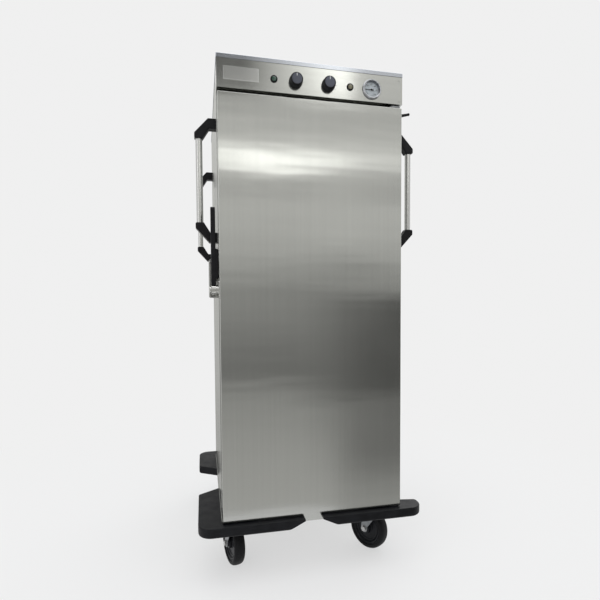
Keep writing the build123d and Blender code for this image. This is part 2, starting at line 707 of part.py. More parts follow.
def latch_tongue():
    """The steel tongue that reaches back into the keeper and hooks down at its end."""
    root_y = LATCH_Y + LATCH_RING_RADIUS + 0.2
    outline = [
        (root_y, LATCH_Z - 8),
        (root_y, LATCH_Z + 8),
        (-314, LATCH_Z + 4),
        (-312, LATCH_Z + 2),
        (-312, LATCH_Z - 11),
        (-322, LATCH_Z - 11),
        (-322, LATCH_Z - 5),
    ]
    tongue = prism(outline, Plane.YZ.offset(-341), 10)
    return tongue - rod((-360, LATCH_Y, LATCH_Z), (1, 0, 0), LATCH_RING_RADIUS, 60)


def keeper_housing():
    """A pressed steel cover on the wall, open towards the door, that takes the tongue."""
    low, high = KEEPER_Z
    wall = KEEPER_SHEET
    outer = block((KEEPER_OUTER_X, -SKIN_X), (FRONT_FACE_Y, KEEPER_BACK_Y), (low, high))
    back_edge = outer.faces().sort_by(Axis.X)[0].edges().filter_by(Axis.Z)
    outer = fillet(back_edge, KEEPER_ROUNDING)
    outer = fillet(outer.edges().filter_by(Axis.Y).sort_by(Axis.X)[:2], KEEPER_ROUNDING)
    hollow = block(
        (KEEPER_OUTER_X + wall, 1 - SKIN_X),
        (FRONT_FACE_Y - 8, KEEPER_BACK_Y - wall),
        (low + wall, high - wall),
    )
    return outer - hollow


def keeper_spring():
    """A leaf spring whose hump holds the tongue's hook until the door is pulled."""
    leaf = [(y, KEEPER_Z[0] + up) for y, up in SPRING_LINE]
    under = [(y, z - 1) for y, z in reversed(leaf)]
    return prism(leaf + under, Plane.YZ.offset(-342), 12)


# Control box


def fascia_panel():
    """The control panel: a front with its sides and its lower edge folded back."""
    top = CABINET_TOP_Z - SHEET - FOLD_GAP
    panel = block((-SKIN_X, SKIN_X), (FASCIA_FRONT_Y, FRAME_BACK_Y), (CONTROL_BOTTOM_Z, top))
    panel -= block(
        (SHEET - SKIN_X, SKIN_X - SHEET),
        (FASCIA_FRONT_Y + SHEET, FRAME_BACK_Y + 1),
        (CONTROL_BOTTOM_Z + SHEET, top + 1),
    )
    holes = [
        (POWER_LAMP_X, LAMP_HOLE_RADIUS),
        (POWER_KNOB_X, SPINDLE_HOLE_RADIUS),
        (THERMOSTAT_X, SPINDLE_HOLE_RADIUS),
        (HEATING_LAMP_X, LAMP_HOLE_RADIUS),
        (THERMOMETER_X, CASE_RADIUS + CASE_CLEARANCE),
    ]
    for x, radius in holes:
        panel -= rod((x, FASCIA_FRONT_Y - 10, CONTROL_ROW_Z), (0, 1, 0), radius, 30)
    return panel


def control_tray():
    """The plate under the control gear, over the ceiling's insulation."""
    x = SKIN_X - SHEET - 6 * FOLD_GAP
    plate = block((-x, x), (FRAME_BACK_Y, BACK_PANEL_Y - 4 * FOLD_GAP), (TRAY_Z, TRAY_Z + TRAY_THICKNESS))
    return plate - ceiling_holes()


def name_plate():
    """A bare plate on the fascia."""
    width, height = NAME_PLATE_SIZE
    x, z = NAME_PLATE_CENTRE
    plate = Pos(x, FASCIA_FRONT_Y - 0.5, z) * Box(width, 1, height)
    return fillet(plate.edges().filter_by(Axis.Y), 3)


def knob(x):
    """A round control knob with a tapered side, a ring groove and a raised mark."""
    back = FASCIA_FRONT_Y - 0.5
    body = cone((x, back, CONTROL_ROW_Z), (0, -1, 0), KNOB_RADIUS, KNOB_FACE_RADIUS, KNOB_DEPTH)
    body = fillet(body.edges().sort_by(Axis.Y)[0], 2)
    front = back - KNOB_DEPTH
    body += block((x - 1, x + 1), (front - 0.8, front + 2), (CONTROL_ROW_Z + 8, CONTROL_ROW_Z + 17))
    return body - rod((x, back + 1, CONTROL_ROW_Z), (0, -1, 0), SPINDLE_RADIUS, 17)


def spindle(x):
    """The steel spindle that runs from a knob into the control behind the fascia."""
    return rod((x, FASCIA_FRONT_Y - 16.4, CONTROL_ROW_Z), (0, 1, 0), SPINDLE_RADIUS, SPINDLE_LENGTH)


def rotary_control(x, width, depth, height):
    """A switch or thermostat body, bored for its spindle, with a threaded collar."""
    back = FASCIA_FRONT_Y + SHEET
    body = block(
        (x - width / 2, x + width / 2),
        (back, back + depth),
        (CONTROL_ROW_Z - height / 2, CONTROL_ROW_Z + height / 2),
    )
    bore = SPINDLE_RADIUS + RUNNING_GAP
    return body - rod((x, back - 1, CONTROL_ROW_Z), (0, 1, 0), bore, 24)


def lamp_bezels():
    """Two black lamp barrels with their flanged rims."""
    lamps = []
    for x in (POWER_LAMP_X, HEATING_LAMP_X):
        barrel = rod((x, FASCIA_FRONT_Y, CONTROL_ROW_Z), (0, 1, 0), LAMP_HOLE_RADIUS - 0.1, LAMP_BARREL_DEPTH)
        rim = cone((x, FASCIA_FRONT_Y, CONTROL_ROW_Z), (0, -1, 0), 12, 11, 4)
        lamp = barrel + rim
        lamp -= rod((x, FASCIA_FRONT_Y - 5, CONTROL_ROW_Z), (0, 1, 0), LAMP_BORE_RADIUS, 12)
        lamps.append(lamp)
    return group(lamps)


def lamp_lens(x):
    """A round lamp lens with a slightly domed face."""
    lens = rod((x, FASCIA_FRONT_Y + 4, CONTROL_ROW_Z), (0, -1, 0), LAMP_BORE_RADIUS - 0.1, 9.5)
    return fillet(lens.edges().sort_by(Axis.Y)[0], 2)


def thermometer_case():
    """The thermometer's round case with its bezel."""
    start = (THERMOMETER_X, FASCIA_FRONT_Y, CONTROL_ROW_Z)
    front = (THERMOMETER_X, FASCIA_FRONT_Y - 7, CONTROL_ROW_Z)
    bezel = rod(start, (0, -1, 0), BEZEL_RADIUS, BEZEL_DEPTH)
    bezel = fillet(bezel.edges().sort_by(Axis.Y)[0], 3)
    case = bezel + rod(start, (0, 1, 0), CASE_RADIUS, CASE_DEPTH)
    case -= rod(front, (0, 1, 0), CASE_BORE_RADIUS, 13)
    return case - rod(front, (0, 1, 0), GLASS_SEAT_RADIUS, 4)


def thermometer_dial():
    """The dial disc, bored for the pointer's staff."""
    dial = rod((THERMOMETER_X, FASCIA_FRONT_Y + 6, CONTROL_ROW_Z), (0, -1, 0), CASE_BORE_RADIUS - 0.1, 1)
    return dial - rod((THERMOMETER_X, -400, CONTROL_ROW_Z), (0, 1, 0), 1.05, 20)


def thermometer_needle():
    """The pointer on its staff, at rest at nine o'clock."""
    y = FASCIA_FRONT_Y + 3
    outline = [(8, -1.6), (8, 1.6), (-22, 0.5), (-22, -0.5)]
    points = [(THERMOMETER_X + x, CONTROL_ROW_Z + z) for x, z in outline]
    needle = prism(points, Plane.XZ.offset(-y), 0.8)
    needle += rod((THERMOMETER_X, y, CONTROL_ROW_Z), (0, -1, 0), 3, 1.6)
    return needle + rod((THERMOMETER_X, y - 0.5, CONTROL_ROW_Z), (0, 1, 0), 1, 3.2)


def thermometer_glass():
    """The flat glass, let into the bezel."""
    return rod((THERMOMETER_X, FASCIA_FRONT_Y - 3, CONTROL_ROW_Z), (0, -1, 0), GLASS_SEAT_RADIUS - 0.1, 1.6)


def terminal_block():
    """The block where the supply comes in."""
    base = block((-250, -190), (300, 326), (TRAY_Z + TRAY_THICKNESS, TRAY_Z + 19))
    for step in range(4):
        x = -242 + 15 * step
        base -= rod((x, 313, TRAY_Z + 12), (0, 0, 1), 3, 20)
    return base


def cable_gland():
    """The gland in the back panel that a supply cord goes in through."""
    origin = (GLAND_X, BACK_FACE_Y, GLAND_Z)
    thread = rod((GLAND_X, BACK_FACE_Y - 14, GLAND_Z), (0, 1, 0), GLAND_THREAD_RADIUS, 14)
    nut_plane = Plane(origin=origin, z_dir=(0, 1, 0))
    nut = extrude(nut_plane * RegularPolygon(GLAND_NUT_RADIUS, 6), 10)
    cap_start = (GLAND_X, BACK_FACE_Y + 10, GLAND_Z)
    cap = rod(cap_start, (0, 1, 0), GLAND_CAP_RADIUS, 16)
    cap = fillet(cap.edges().sort_by(Axis.Y)[-1], 5)
    lock_plane = Plane(origin=(GLAND_X, BACK_PANEL_Y - 6, GLAND_Z), z_dir=(0, 1, 0))
    lock_nut = extrude(lock_plane * RegularPolygon(GLAND_NUT_RADIUS, 6), 6)
    gland = thread + nut + cap + lock_nut
    return gland - rod((GLAND_X, 340, GLAND_Z), (0, 1, 0), GLAND_BORE_RADIUS, 90)


# Chamber


def tray_rack(side):
    """Three uprights on one wall with a runner strip for every tray level."""
    wall = CHAMBER_X - FOLD_GAP
    face = wall - UPRIGHT_DEPTH
    upright_z = (UPRIGHT_BOTTOM_Z, FIRST_RUNNER_Z + RUNNER_COUNT * RUNNER_PITCH - 24)
    runner_y = (-RUNNER_HALF_LENGTH, RUNNER_HALF_LENGTH)
    pieces = []
    for y in UPRIGHT_PLACES_Y:
        pieces.append(block((face, wall), (y - UPRIGHT_HALF, y + UPRIGHT_HALF), upright_z))
    for level in range(RUNNER_COUNT):
        z = FIRST_RUNNER_Z + level * RUNNER_PITCH
        pieces.append(block((face - RUNNER_WIDTH, face), runner_y, (z, z + RUNNER_THICKNESS)))
    rack = group(pieces)
    return rack if side > 0 else group([mirrored(rack)])


def air_baffle():
    """The perforated sheet under the fan, hung from the ceiling by its front and back folds."""
    top = CHAMBER_TOP_Z - FOLD_GAP
    x = (-BAFFLE_HALF_WIDTH, BAFFLE_HALF_WIDTH)
    length = BAFFLE_HALF_LENGTH
    sheet = block(x, (-length, length), (BAFFLE_Z, BAFFLE_Z + BAFFLE_SHEET))
    for y in (-length, length - BAFFLE_SHEET):
        sheet += block(x, (y, y + BAFFLE_SHEET), (BAFFLE_Z, top))
    for column in range(-2, 3):
        for row in range(-2, 3):
            start = (BAFFLE_HOLE_PITCH * column, BAFFLE_HOLE_PITCH * row, BAFFLE_Z - 1)
            sheet -= rod(start, (0, 0, 1), BAFFLE_HOLE_RADIUS, 5)
    return sheet


def heater_ends():
    """Where the ring heater's two ends turn up through the ceiling."""
    angle = math.radians(HEATER_GAP_ANGLE)
    x = HEATER_RADIUS * math.cos(angle)
    y = HEATER_RADIUS * math.sin(angle)
    return [(x, y), (x, -y)]


def ring_heater():
    """A sheathed element, bent in a ring round the fan, with both ends going up."""
    gap = HEATER_GAP_ANGLE
    arc = CenterArc((0, 0), HEATER_RADIUS, gap, 360 - 2 * gap)
    path = Plane.XY.offset(HEATER_Z) * arc
    section = Plane(origin=path @ 0, z_dir=path % 0) * Circle(HEATER_TUBE_RADIUS)
    heater = sweep(section, path)
    for x, y in heater_ends():
        heater += Pos(x, y, HEATER_Z) * Sphere(HEATER_TUBE_RADIUS)
        heater += rod((x, y, HEATER_Z), (0, 0, 1), HEATER_TUBE_RADIUS, HEATER_TAIL)
    return heater


def fan_motor():
    """The fan motor, standing on the control tray, bored for its shaft."""
    base = TRAY_Z + TRAY_THICKNESS
    motor = rod((0, 0, base), (0, 0, 1), MOTOR_FLANGE_RADIUS, 4)
    motor += rod((0, 0, base + 4), (0, 0, 1), MOTOR_RADIUS, 56)
    bore = FAN_SHAFT_RADIUS + RUNNING_GAP
    return motor - rod((0, 0, base - 1), (0, 0, 1), bore, 48)


def fan_impeller():
    """A backward-curved fan wheel on its shaft."""
    disc_z = BLADE_Z[1] - 0.5
    disc = rod((0, 0, disc_z), (0, 0, 1), IMPELLER_RADIUS, 2)
    wheel = disc + rod((0, 0, FAN_HUB_BOTTOM_Z), (0, 0, 1), FAN_HUB_RADIUS, 21)
    blade = block((-BLADE_HALF_LENGTH, BLADE_HALF_LENGTH), (-0.8, 0.8), BLADE_Z)
    for index in range(BLADE_COUNT):
        turn = 360 / BLADE_COUNT * index
        wheel += Rot(0, 0, turn) * Pos(BLADE_MIDDLE, 0, 0) * Rot(0, 0, BLADE_SLANT) * blade
    shaft = rod((0, 0, FAN_HUB_BOTTOM_Z), (0, 0, 1), FAN_SHAFT_RADIUS, 120)
    return group([wheel - shaft, shaft])


def fixing_screws():
    """Screw heads at the ends of the fascia and on the back panel."""
    heads = []
    for x in (-308, 308):
        for z in (1645, 1714):
            heads.append(rod((x, FASCIA_FRONT_Y, z), (0, -1, 0), 3.5, 1))
    for x in (-300, 0, 300):
        for z in (230, 700, 1170, 1640):
            heads.append(rod((x, BACK_FACE_Y, z), (0, 1, 0), 4.5, 2))
    return group(heads)


NODES = {
    "side_panels": side_panels(),
    "back_panel": back_panel(),
    "base_panel": base_panel(),
    "top_lid": top_lid(),
    "front_frame": front_frame(),
    "liner": liner(),
    "insulation": insulation(),
    "chassis_frame": chassis_frame(),
    "front_bumpers": front_bumpers(),
    "rear_bumpers": rear_bumpers(),
    "handle_tubes": handle_tubes(),
    "handle_brackets": handle_brackets(),
    "cord_hook": cord_hook(),
    "castor_plates": castor_plates(),
    "castor_bolts": castor_bolts(),
    "door_outer_skin": door_outer_skin(),
    "door_inner_skin": door_inner_skin(),
    "door_insulation": door_insulation(),
    "door_gasket": door_gasket(),
    "hinge_bushes": hinge_bushes(),
    "hinge_brackets": hinge_brackets(),
    "latch_base": latch_base(),
    "latch_lever": latch_lever(),
    "latch_tongue": latch_tongue(),
    "keeper_housing": keeper_housing(),
    "keeper_spring": keeper_spring(),
    "fascia_panel": fascia_panel(),
    "control_tray": control_tray(),
    "name_plate": name_plate(),
    "power_knob": knob(POWER_KNOB_X),
    "power_spindle": spindle(POWER_KNOB_X),
    "power_switch": rotary_control(POWER_KNOB_X, 44, 36, 44),
    "thermostat_knob": knob(THERMOSTAT_X),
    "thermostat_spindle": spindle(THERMOSTAT_X),
    "thermostat": rotary_control(THERMOSTAT_X, 50, 42, 36),
    "lamp_bezels": lamp_bezels(),
    "power_lamp_lens": lamp_lens(POWER_LAMP_X),
    "heating_lamp_lens": lamp_lens(HEATING_LAMP_X),
    "thermometer_case": thermometer_case(),
    "thermometer_dial": thermometer_dial(),
    "thermometer_needle": thermometer_needle(),
    "thermometer_glass": thermometer_glass(),
    "terminal_block": terminal_block(),
    "cable_gland": cable_gland(),
    "tray_rack_left": tray_rack(-1),
    "tray_rack_right": tray_rack(1),
    "air_baffle": air_baffle(),
    "ring_heater": ring_heater(),
    "fan_motor": fan_motor(),
    "fan_impeller": fan_impeller(),
    "fixing_screws": fixing_screws(),
}
for castor_name, castor_x, castor_y, castor_turn in corner_castors():
    NODES[f"fork_{castor_name}"] = castor_fork(castor_x, castor_y, castor_turn)
    NODES[f"wheel_{castor_name}"] = castor_wheel(castor_x, castor_y, castor_turn)

os.makedirs("parts", exist_ok=True)
for node_name, shape in NODES.items():
    export_step(shape, f"parts/{node_name}.step")
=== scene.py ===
import bmesh
import bpy
import json
import math
from mathutils import Matrix, Vector


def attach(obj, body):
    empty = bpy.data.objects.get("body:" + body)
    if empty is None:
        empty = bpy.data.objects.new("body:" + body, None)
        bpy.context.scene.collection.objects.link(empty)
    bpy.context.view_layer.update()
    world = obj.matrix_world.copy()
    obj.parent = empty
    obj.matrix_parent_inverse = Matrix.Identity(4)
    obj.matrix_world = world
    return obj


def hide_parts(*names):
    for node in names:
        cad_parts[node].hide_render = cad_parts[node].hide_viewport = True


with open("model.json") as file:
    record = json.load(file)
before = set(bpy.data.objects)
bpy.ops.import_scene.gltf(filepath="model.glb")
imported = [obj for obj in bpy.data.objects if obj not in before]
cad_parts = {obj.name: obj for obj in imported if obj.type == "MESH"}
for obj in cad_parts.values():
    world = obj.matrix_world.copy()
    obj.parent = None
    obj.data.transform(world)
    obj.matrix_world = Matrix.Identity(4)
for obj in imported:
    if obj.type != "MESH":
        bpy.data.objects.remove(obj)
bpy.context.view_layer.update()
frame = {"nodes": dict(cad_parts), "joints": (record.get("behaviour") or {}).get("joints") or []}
scene = bpy.context.scene

# Camera: stands about 1.5 m in front of the door and to its left, level with the cabinet's
# middle, turned to the right and a little down.
camera_data = bpy.data.cameras.new("camera")
camera_data.sensor_width = 36
camera_data.lens = 27.38
camera_data.shift_x = -0.011
camera_data.shift_y = 0.0495
camera = bpy.data.objects.new("camera", camera_data)
scene.collection.objects.link(camera)
camera_place = Vector((-0.371, -1.910, 0.923))
camera_yaw, camera_pitch, camera_roll = (math.radians(a) for a in (-12.768, -2.610, 0.309))
camera.matrix_world = (
    Matrix.Translation(camera_place)
    @ Matrix.Rotation(camera_yaw, 4, "Z")
    @ Matrix.Rotation(camera_pitch, 4, "X")
    @ Matrix.Rotation(camera_roll, 4, "Y")
    @ Matrix.Rotation(math.radians(90), 4, "X")
)
scene.camera = camera
scene.view_settings.view_transform = "Standard"

# Studio: a pale floor in a pale room, soft lamps overhead, at the front left and behind, and
# grey and white cards before and behind the object, which only show as reflections in the steel.
PALE = (0.87, 0.87, 0.87, 1)
FLOOR_WHITE = (0.93, 0.93, 0.93, 1)
FLOOR_HALF = 60
SHADOW_REACH = (0.5, 2.2)
BACKDROP_SHARE_NEAR = 0.64


def blank_material(name):
    """A new material with its node tree, links and shader."""
    material = bpy.data.materials.new(name)
    material.use_nodes = True
    tree = material.node_tree
    return material, tree.nodes, tree.links, tree.nodes["Principled BSDF"]


def seen_as_backdrop(nodes, links):
    """1 for camera, glossy and transmission rays, 0 for the rays that carry the room's light."""
    path = nodes.new("ShaderNodeLightPath")
    first = nodes.new("ShaderNodeMath")
    first.operation = "MAXIMUM"
    links.new(path.outputs["Is Camera Ray"], first.inputs[0])
    links.new(path.outputs["Is Glossy Ray"], first.inputs[1])
    second = nodes.new("ShaderNodeMath")
    second.operation = "MAXIMUM"
    links.new(first.outputs[0], second.inputs[0])
    links.new(path.outputs["Is Transmission Ray"], second.inputs[1])
    return second.outputs[0]


world = bpy.data.worlds.new("room")
world.use_nodes = True
scene.world = world
room_nodes, room_links = world.node_tree.nodes, world.node_tree.links
room_light = room_nodes["Background"]
room_light.inputs["Color"].default_value = (0.96, 0.98, 1, 1)
room_light.inputs["Strength"].default_value = 0.6
room_seen = room_nodes.new("ShaderNodeBackground")
room_seen.inputs["Color"].default_value = PALE
room_mix = room_nodes.new("ShaderNodeMixShader")
room_links.new(seen_as_backdrop(room_nodes, room_links), room_mix.inputs["Fac"])
room_links.new(room_light.outputs[0], room_mix.inputs[1])
room_links.new(room_seen.outputs[0], room_mix.inputs[2])
room_links.new(room_mix.outputs[0], room_nodes["World Output"].inputs["Surface"])

floor_mesh = bpy.data.meshes.new("floor")
shape = bmesh.new()
bmesh.ops.create_grid(shape, x_segments=1, y_segments=1, size=FLOOR_HALF)
shape.to_mesh(floor_mesh)
shape.free()
floor = bpy.data.objects.new("floor", floor_mesh)
scene.collection.objects.link(floor)
floor_paint, nodes, links, shader = blank_material("floor_paint")
shader.inputs["Base Color"].default_value = FLOOR_WHITE
shader.inputs["Roughness"].default_value = 0.9
shader.inputs["Specular IOR Level"].default_value = 0.1
glow = nodes.new("ShaderNodeEmission")
glow.inputs["Color"].default_value = PALE
reach = nodes.new("ShaderNodeVectorMath")
reach.operation = "LENGTH"
links.new(nodes.new("ShaderNodeTexCoord").outputs["Object"], reach.inputs[0])
fade = nodes.new("ShaderNodeMapRange")
fade.inputs["From Min"].default_value = SHADOW_REACH[0]
fade.inputs["From Max"].default_value = SHADOW_REACH[1]
fade.inputs["To Min"].default_value = BACKDROP_SHARE_NEAR
links.new(reach.outputs["Value"], fade.inputs["Value"])
share = nodes.new("ShaderNodeMath")
share.operation = "MULTIPLY"
links.new(fade.outputs[0], share.inputs[1])
links.new(seen_as_backdrop(nodes, links), share.inputs[0])
floor_mix = nodes.new("ShaderNodeMixShader")
links.new(share.outputs[0], floor_mix.inputs["Fac"])
links.new(shader.outputs[0], floor_mix.inputs[1])
links.new(glow.outputs[0], floor_mix.inputs[2])
links.new(floor_mix.outputs[0], nodes["Material Output"].inputs["Surface"])
floor_mesh.materials.append(floor_paint)


def soft_light(name, place, target, size, energy):
    """A rectangular lamp at a place, turned to a target."""
    lamp = bpy.data.lights.new(name, "AREA")
    lamp.shape = "RECTANGLE"
    lamp.size, lamp.size_y = size
    lamp.energy = energy
    holder = bpy.data.objects.new(name, lamp)
    holder.location = place
    holder.rotation_mode = "QUATERNION"
    holder.rotation_quaternion = (Vector(target) - Vector(place)).to_track_quat("-Z", "Y")
    scene.collection.objects.link(holder)


CABINET_MIDDLE = (0, 0, 1)
soft_light("overhead", (0, -0.3, 4.4), CABINET_MIDDLE, (5, 5), 95)
soft_light("front_left", (-3.6, -3.8, 2.4), CABINET_MIDDLE, (3.4, 3.4), 46)
soft_light("back_right", (3.8, 3.4, 2.4), CABINET_MIDDLE, (4.5, 4), 46)

CARD_WALL_Y = -3.4
STRIP_Y = -3.38
STRIP_TOP = 2.48
MAT_Z = 0.01
BEHIND_X = (-2.8, -0.34)
BEHIND_Y = (0.1, 3.3)
BEHIND_TOP = 3.4
BEHIND_MAT_Z = 0.002


def card(name, corners, greys):
    """A flat card with a grey at each corner, which only reflections see."""
    mesh = bpy.data.meshes.new(name)
    shape = bmesh.new()
    tint = shape.verts.layers.float_color.new("tint")
    points = [shape.verts.new(corner) for corner in corners]
    for point, grey in zip(points, greys):
        point[tint] = (grey, grey, 0.97 * grey, 1)
    shape.faces.new(points)
    bmesh.ops.subdivide_edges(shape, edges=shape.edges, cuts=7, use_grid_fill=True)
    shape.to_mesh(mesh)
    shape.free()
    piece = bpy.data.objects.new(name, mesh)
    scene.collection.objects.link(piece)
    paint, nodes, links, shader = blank_material(name + "_paint")
    glow = nodes.new("ShaderNodeEmission")
    shade = nodes.new("ShaderNodeAttribute")
    shade.attribute_name = "tint"
    links.new(shade.outputs["Color"], glow.inputs["Color"])
    links.new(glow.outputs[0], nodes["Material Output"].inputs["Surface"])
    mesh.materials.append(paint)
    piece.visible_camera = False
    piece.visible_diffuse = False
    piece.visible_shadow = False


def wall_card(name, left, right, low, high, greys):
    """A card that stands in front of the door; its greys run round from the lower left."""
    corners = [(left, low), (right, low), (right, high), (left, high)]
    nearer = 0.01 if name in ("doorway", "shelf", "ledge") else 0
    card(name, [(x, CARD_WALL_Y + nearer, z) for x, z in corners], greys)


wall_card("over_door", -4.0, 4.0, 2.48, 3.0, (0.95, 0.95, 0.62, 0.62))
wall_card("under_strip", -4.0, 4.0, 2.0, 2.36, (0.64, 0.64, 0.6, 0.6))
wall_card("doorway", 0.78, 1.22, 1.62, 2.3, (0.84, 0.84, 0.8, 0.8))
wall_card("upper_wall", -4.0, 4.0, 1.5, 2.0, (0.7, 0.64, 0.84, 0.82))
wall_card("middle_wall", -4.0, 4.0, 1.05, 1.5, (0.46, 0.3, 0.66, 0.72))
wall_card("shelf", 1.0, 1.38, 1.3, 1.4, (0.36, 0.36, 0.36, 0.36))
wall_card("ledge", 0.55, 1.9, 1.08, 1.12, (0.3, 0.62, 0.62, 0.3))
wall_card("dark_left", -4.0, 0.7, 0.22, 1.05, (0.25, 0.24, 0.44, 0.46))
wall_card("dark_middle", 0.7, 1.35, 0, 1.05, (0.28, 0.1, 0.13, 0.44))
wall_card("dark_right", 1.35, 4.0, 0, 1.05, (0.1, 0.1, 0.13, 0.13))
wall_card("skirting", -4.0, 0.7, 0, 0.22, (0.52, 0.5, 0.38, 0.4))
wall_card("fascia_left", -4.0, 0.12, 3.0, 4.6, (0.14, 0.1, 0.1, 0.14))
wall_card("fascia_middle", 0.12, 0.75, 3.0, 4.6, (0.3, 1.6, 1.6, 0.3))
wall_card("fascia_bright", 0.75, 1.15, 3.0, 4.6, (1.8, 2.7, 2.7, 1.8))
wall_card("fascia_right", 1.15, 4.0, 3.0, 4.6, (0.9, 0.86, 0.86, 0.9))
left, right = BEHIND_X
front, back = BEHIND_Y
card("behind_left", [(left, back, 0), (right, back, 0), (right, back, BEHIND_TOP),
                     (left, back, BEHIND_TOP)], (0.5, 0.5, 0.68, 0.68))
card("behind_mat", [(left, front, BEHIND_MAT_Z), (right, front, BEHIND_MAT_Z),
                    (right, back, BEHIND_MAT_Z), (left, back, BEHIND_MAT_Z)],
     (0.5, 0.46, 0.5, 0.5))
for name, near, far, greys in (
    ("strip_far_left", (-3.0, 2.34), (-0.4, 2.33), (0.9, 1.9, 1.7, 0.9)),
    ("strip_left", (-0.4, 2.33), (0.4, 2.24), (1.9, 3.1, 2.7, 1.7)),
    ("strip_middle", (0.4, 2.24), (1.1, 2.38), (3.1, 2.2, 2.0, 2.7)),
    ("strip_right", (1.1, 2.38), (3.5, 2.38), (1.5, 1.3, 1.3, 1.5)),
):
    corners = [near, far, (far[0], STRIP_TOP), (near[0], STRIP_TOP)]
    card(name, [(x, STRIP_Y, z) for x, z in corners], greys)
for name, corners, greys in (
    ("left_mat", [(-3, -0.9), (0.25, -0.9), (0.95, -3.4), (-3, -3.4)], (0.62, 0.62, 0.46, 0.46)),
    ("right_near", [(0.1, -0.5), (3, -0.5), (4, -1.5), (0.42, -1.5)], (0.6, 0.5, 0.1, 0.26)),
    ("right_far", [(0.42, -1.5), (4, -1.5), (5, -3.4), (0.95, -3.4)], (0.26, 0.1, 0.08, 0.26)),
):
    card(name, [(x, y, MAT_Z) for x, y in corners], greys)

# Cabinet walls, front frame, floor and back: brushed stainless sheet, drawn from the coil, so
# each sheet carries fine straight lines. The walls are folded and spot welded at the corners.


def add_noise(nodes, links, stretch, detail):
    """Noise on object coordinates, with its own scale along each axis."""
    place = nodes.new("ShaderNodeTexCoord")
    mapping = nodes.new("ShaderNodeMapping")
    mapping.inputs["Scale"].default_value = stretch
    links.new(place.outputs["Object"], mapping.inputs["Vector"])
    noise = nodes.new("ShaderNodeTexNoise")
    noise.inputs["Scale"].default_value = 1
    noise.inputs["Detail"].default_value = detail
    links.new(mapping.outputs["Vector"], noise.inputs["Vector"])
    return noise.outputs[0]


def add_range(nodes, links, source, low, high):
    """The source's middle part, spread between two values."""
    spread = nodes.new("ShaderNodeMapRange")
    spread.inputs["From Min"].default_value = 0.3
    spread.inputs["From Max"].default_value = 0.7
    spread.inputs["To Min"].default_value = low
    spread.inputs["To Max"].default_value = high
    links.new(source, spread.inputs["Value"])
    return spread.outputs[0]


def add_ramp(nodes, links, source, dark, light):
    """The source's middle part, as a colour between two colours."""
    ramp = nodes.new("ShaderNodeValToRGB")
    ramp.color_ramp.elements[0].position = 0.3
    ramp.color_ramp.elements[0].color = list(dark) + [1]
    ramp.color_ramp.elements[1].position = 0.7
    ramp.color_ramp.elements[1].color = list(light) + [1]
    links.new(source, ramp.inputs["Fac"])
    return ramp.outputs["Color"]


def add_bump(nodes, links, source, distance, under=None):
    """A height from the source in metres, laid over an earlier one."""
    bump = nodes.new("ShaderNodeBump")
    bump.inputs["Strength"].default_value = 1
    bump.inputs["Distance"].default_value = distance
    links.new(source, bump.inputs["Height"])
    if under:
        links.new(under, bump.inputs["Normal"])
    return bump.outputs["Normal"]


def sheet_steel(name, tone, grain, roughness, stretch, turn, wave=0.0, score=0.000012):
    """Stainless sheet: fine lines along one axis, smears left by wiping, and a slight wave."""
    material, nodes, links, shader = blank_material(name)
    fine = [2.5 if axis == grain else 1500 for axis in "XYZ"]
    broad = [0.8 if axis == grain else 130 for axis in "XYZ"]
    fine_lines = add_noise(nodes, links, fine, 2)
    broad_lines = add_noise(nodes, links, broad, 2)
    smears = add_noise(nodes, links, (5, 5, 3), 5)
    both = nodes.new("ShaderNodeMath")
    both.operation = "ADD"
    links.new(fine_lines, both.inputs[0])
    links.new(broad_lines, both.inputs[1])
    half = nodes.new("ShaderNodeMath")
    half.operation = "MULTIPLY"
    half.inputs[1].default_value = 0.5
    links.new(both.outputs[0], half.inputs[0])
    dark = [0.97 * c for c in tone]
    light = [1.03 * c for c in tone]
    links.new(add_ramp(nodes, links, half.outputs[0], dark, light), shader.inputs["Base Color"])
    rough = add_range(nodes, links, smears, roughness - 0.02, roughness + 0.02)
    links.new(rough, shader.inputs["Roughness"])
    normal = None
    if wave:
        dents = add_noise(nodes, links, (4.5, 4.5, 3), 1)
        ripples = add_noise(nodes, links, (1.7, 1.7, 11), 2)
        normal = add_bump(nodes, links, dents, wave)
        normal = add_bump(nodes, links, ripples, 1.4 * wave, normal)
    normal = add_bump(nodes, links, fine_lines, score, normal)
    links.new(normal, shader.inputs["Normal"])
    shader.inputs["Metallic"].default_value = 1
    shader.inputs["Anisotropic"].default_value = stretch
    shader.inputs["Anisotropic Rotation"].default_value = turn
    tangent = nodes.new("ShaderNodeTangent")
    tangent.direction_type = "RADIAL"
    tangent.axis = "Z"
    links.new(tangent.outputs[0], shader.inputs["Tangent"])
    return material


def dress(material, *names):
    """Gives CAD nodes a finish through their material slots."""
    for name in names:
        for slot in frame["nodes"][name].material_slots:
            slot.material = material


SHARP_ANGLE = math.radians(32)


def fitted(name, shape, finish, body, stands_for=()):
    """Puts a finished bmesh in the scene as a piece of the object that rides on a body."""
    mesh = bpy.data.meshes.new(name)
    shape.to_mesh(mesh)
    shape.free()
    mesh.shade_smooth()
    mesh.set_sharp_from_angle(angle=SHARP_ANGLE)
    mesh.materials.append(finish)
    piece = bpy.data.objects.new(name, mesh)
    scene.collection.objects.link(piece)
    flat_faces_first = piece.modifiers.new("flat_faces_first", "WEIGHTED_NORMAL")
    flat_faces_first.keep_sharp = True
    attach(piece, body)
    if stands_for:
        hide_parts(*stands_for)


EASED_ANGLE = math.radians(40)
MERGE_DISTANCE = 2e-6
FLAT_ANGLE = math.radians(0.5)


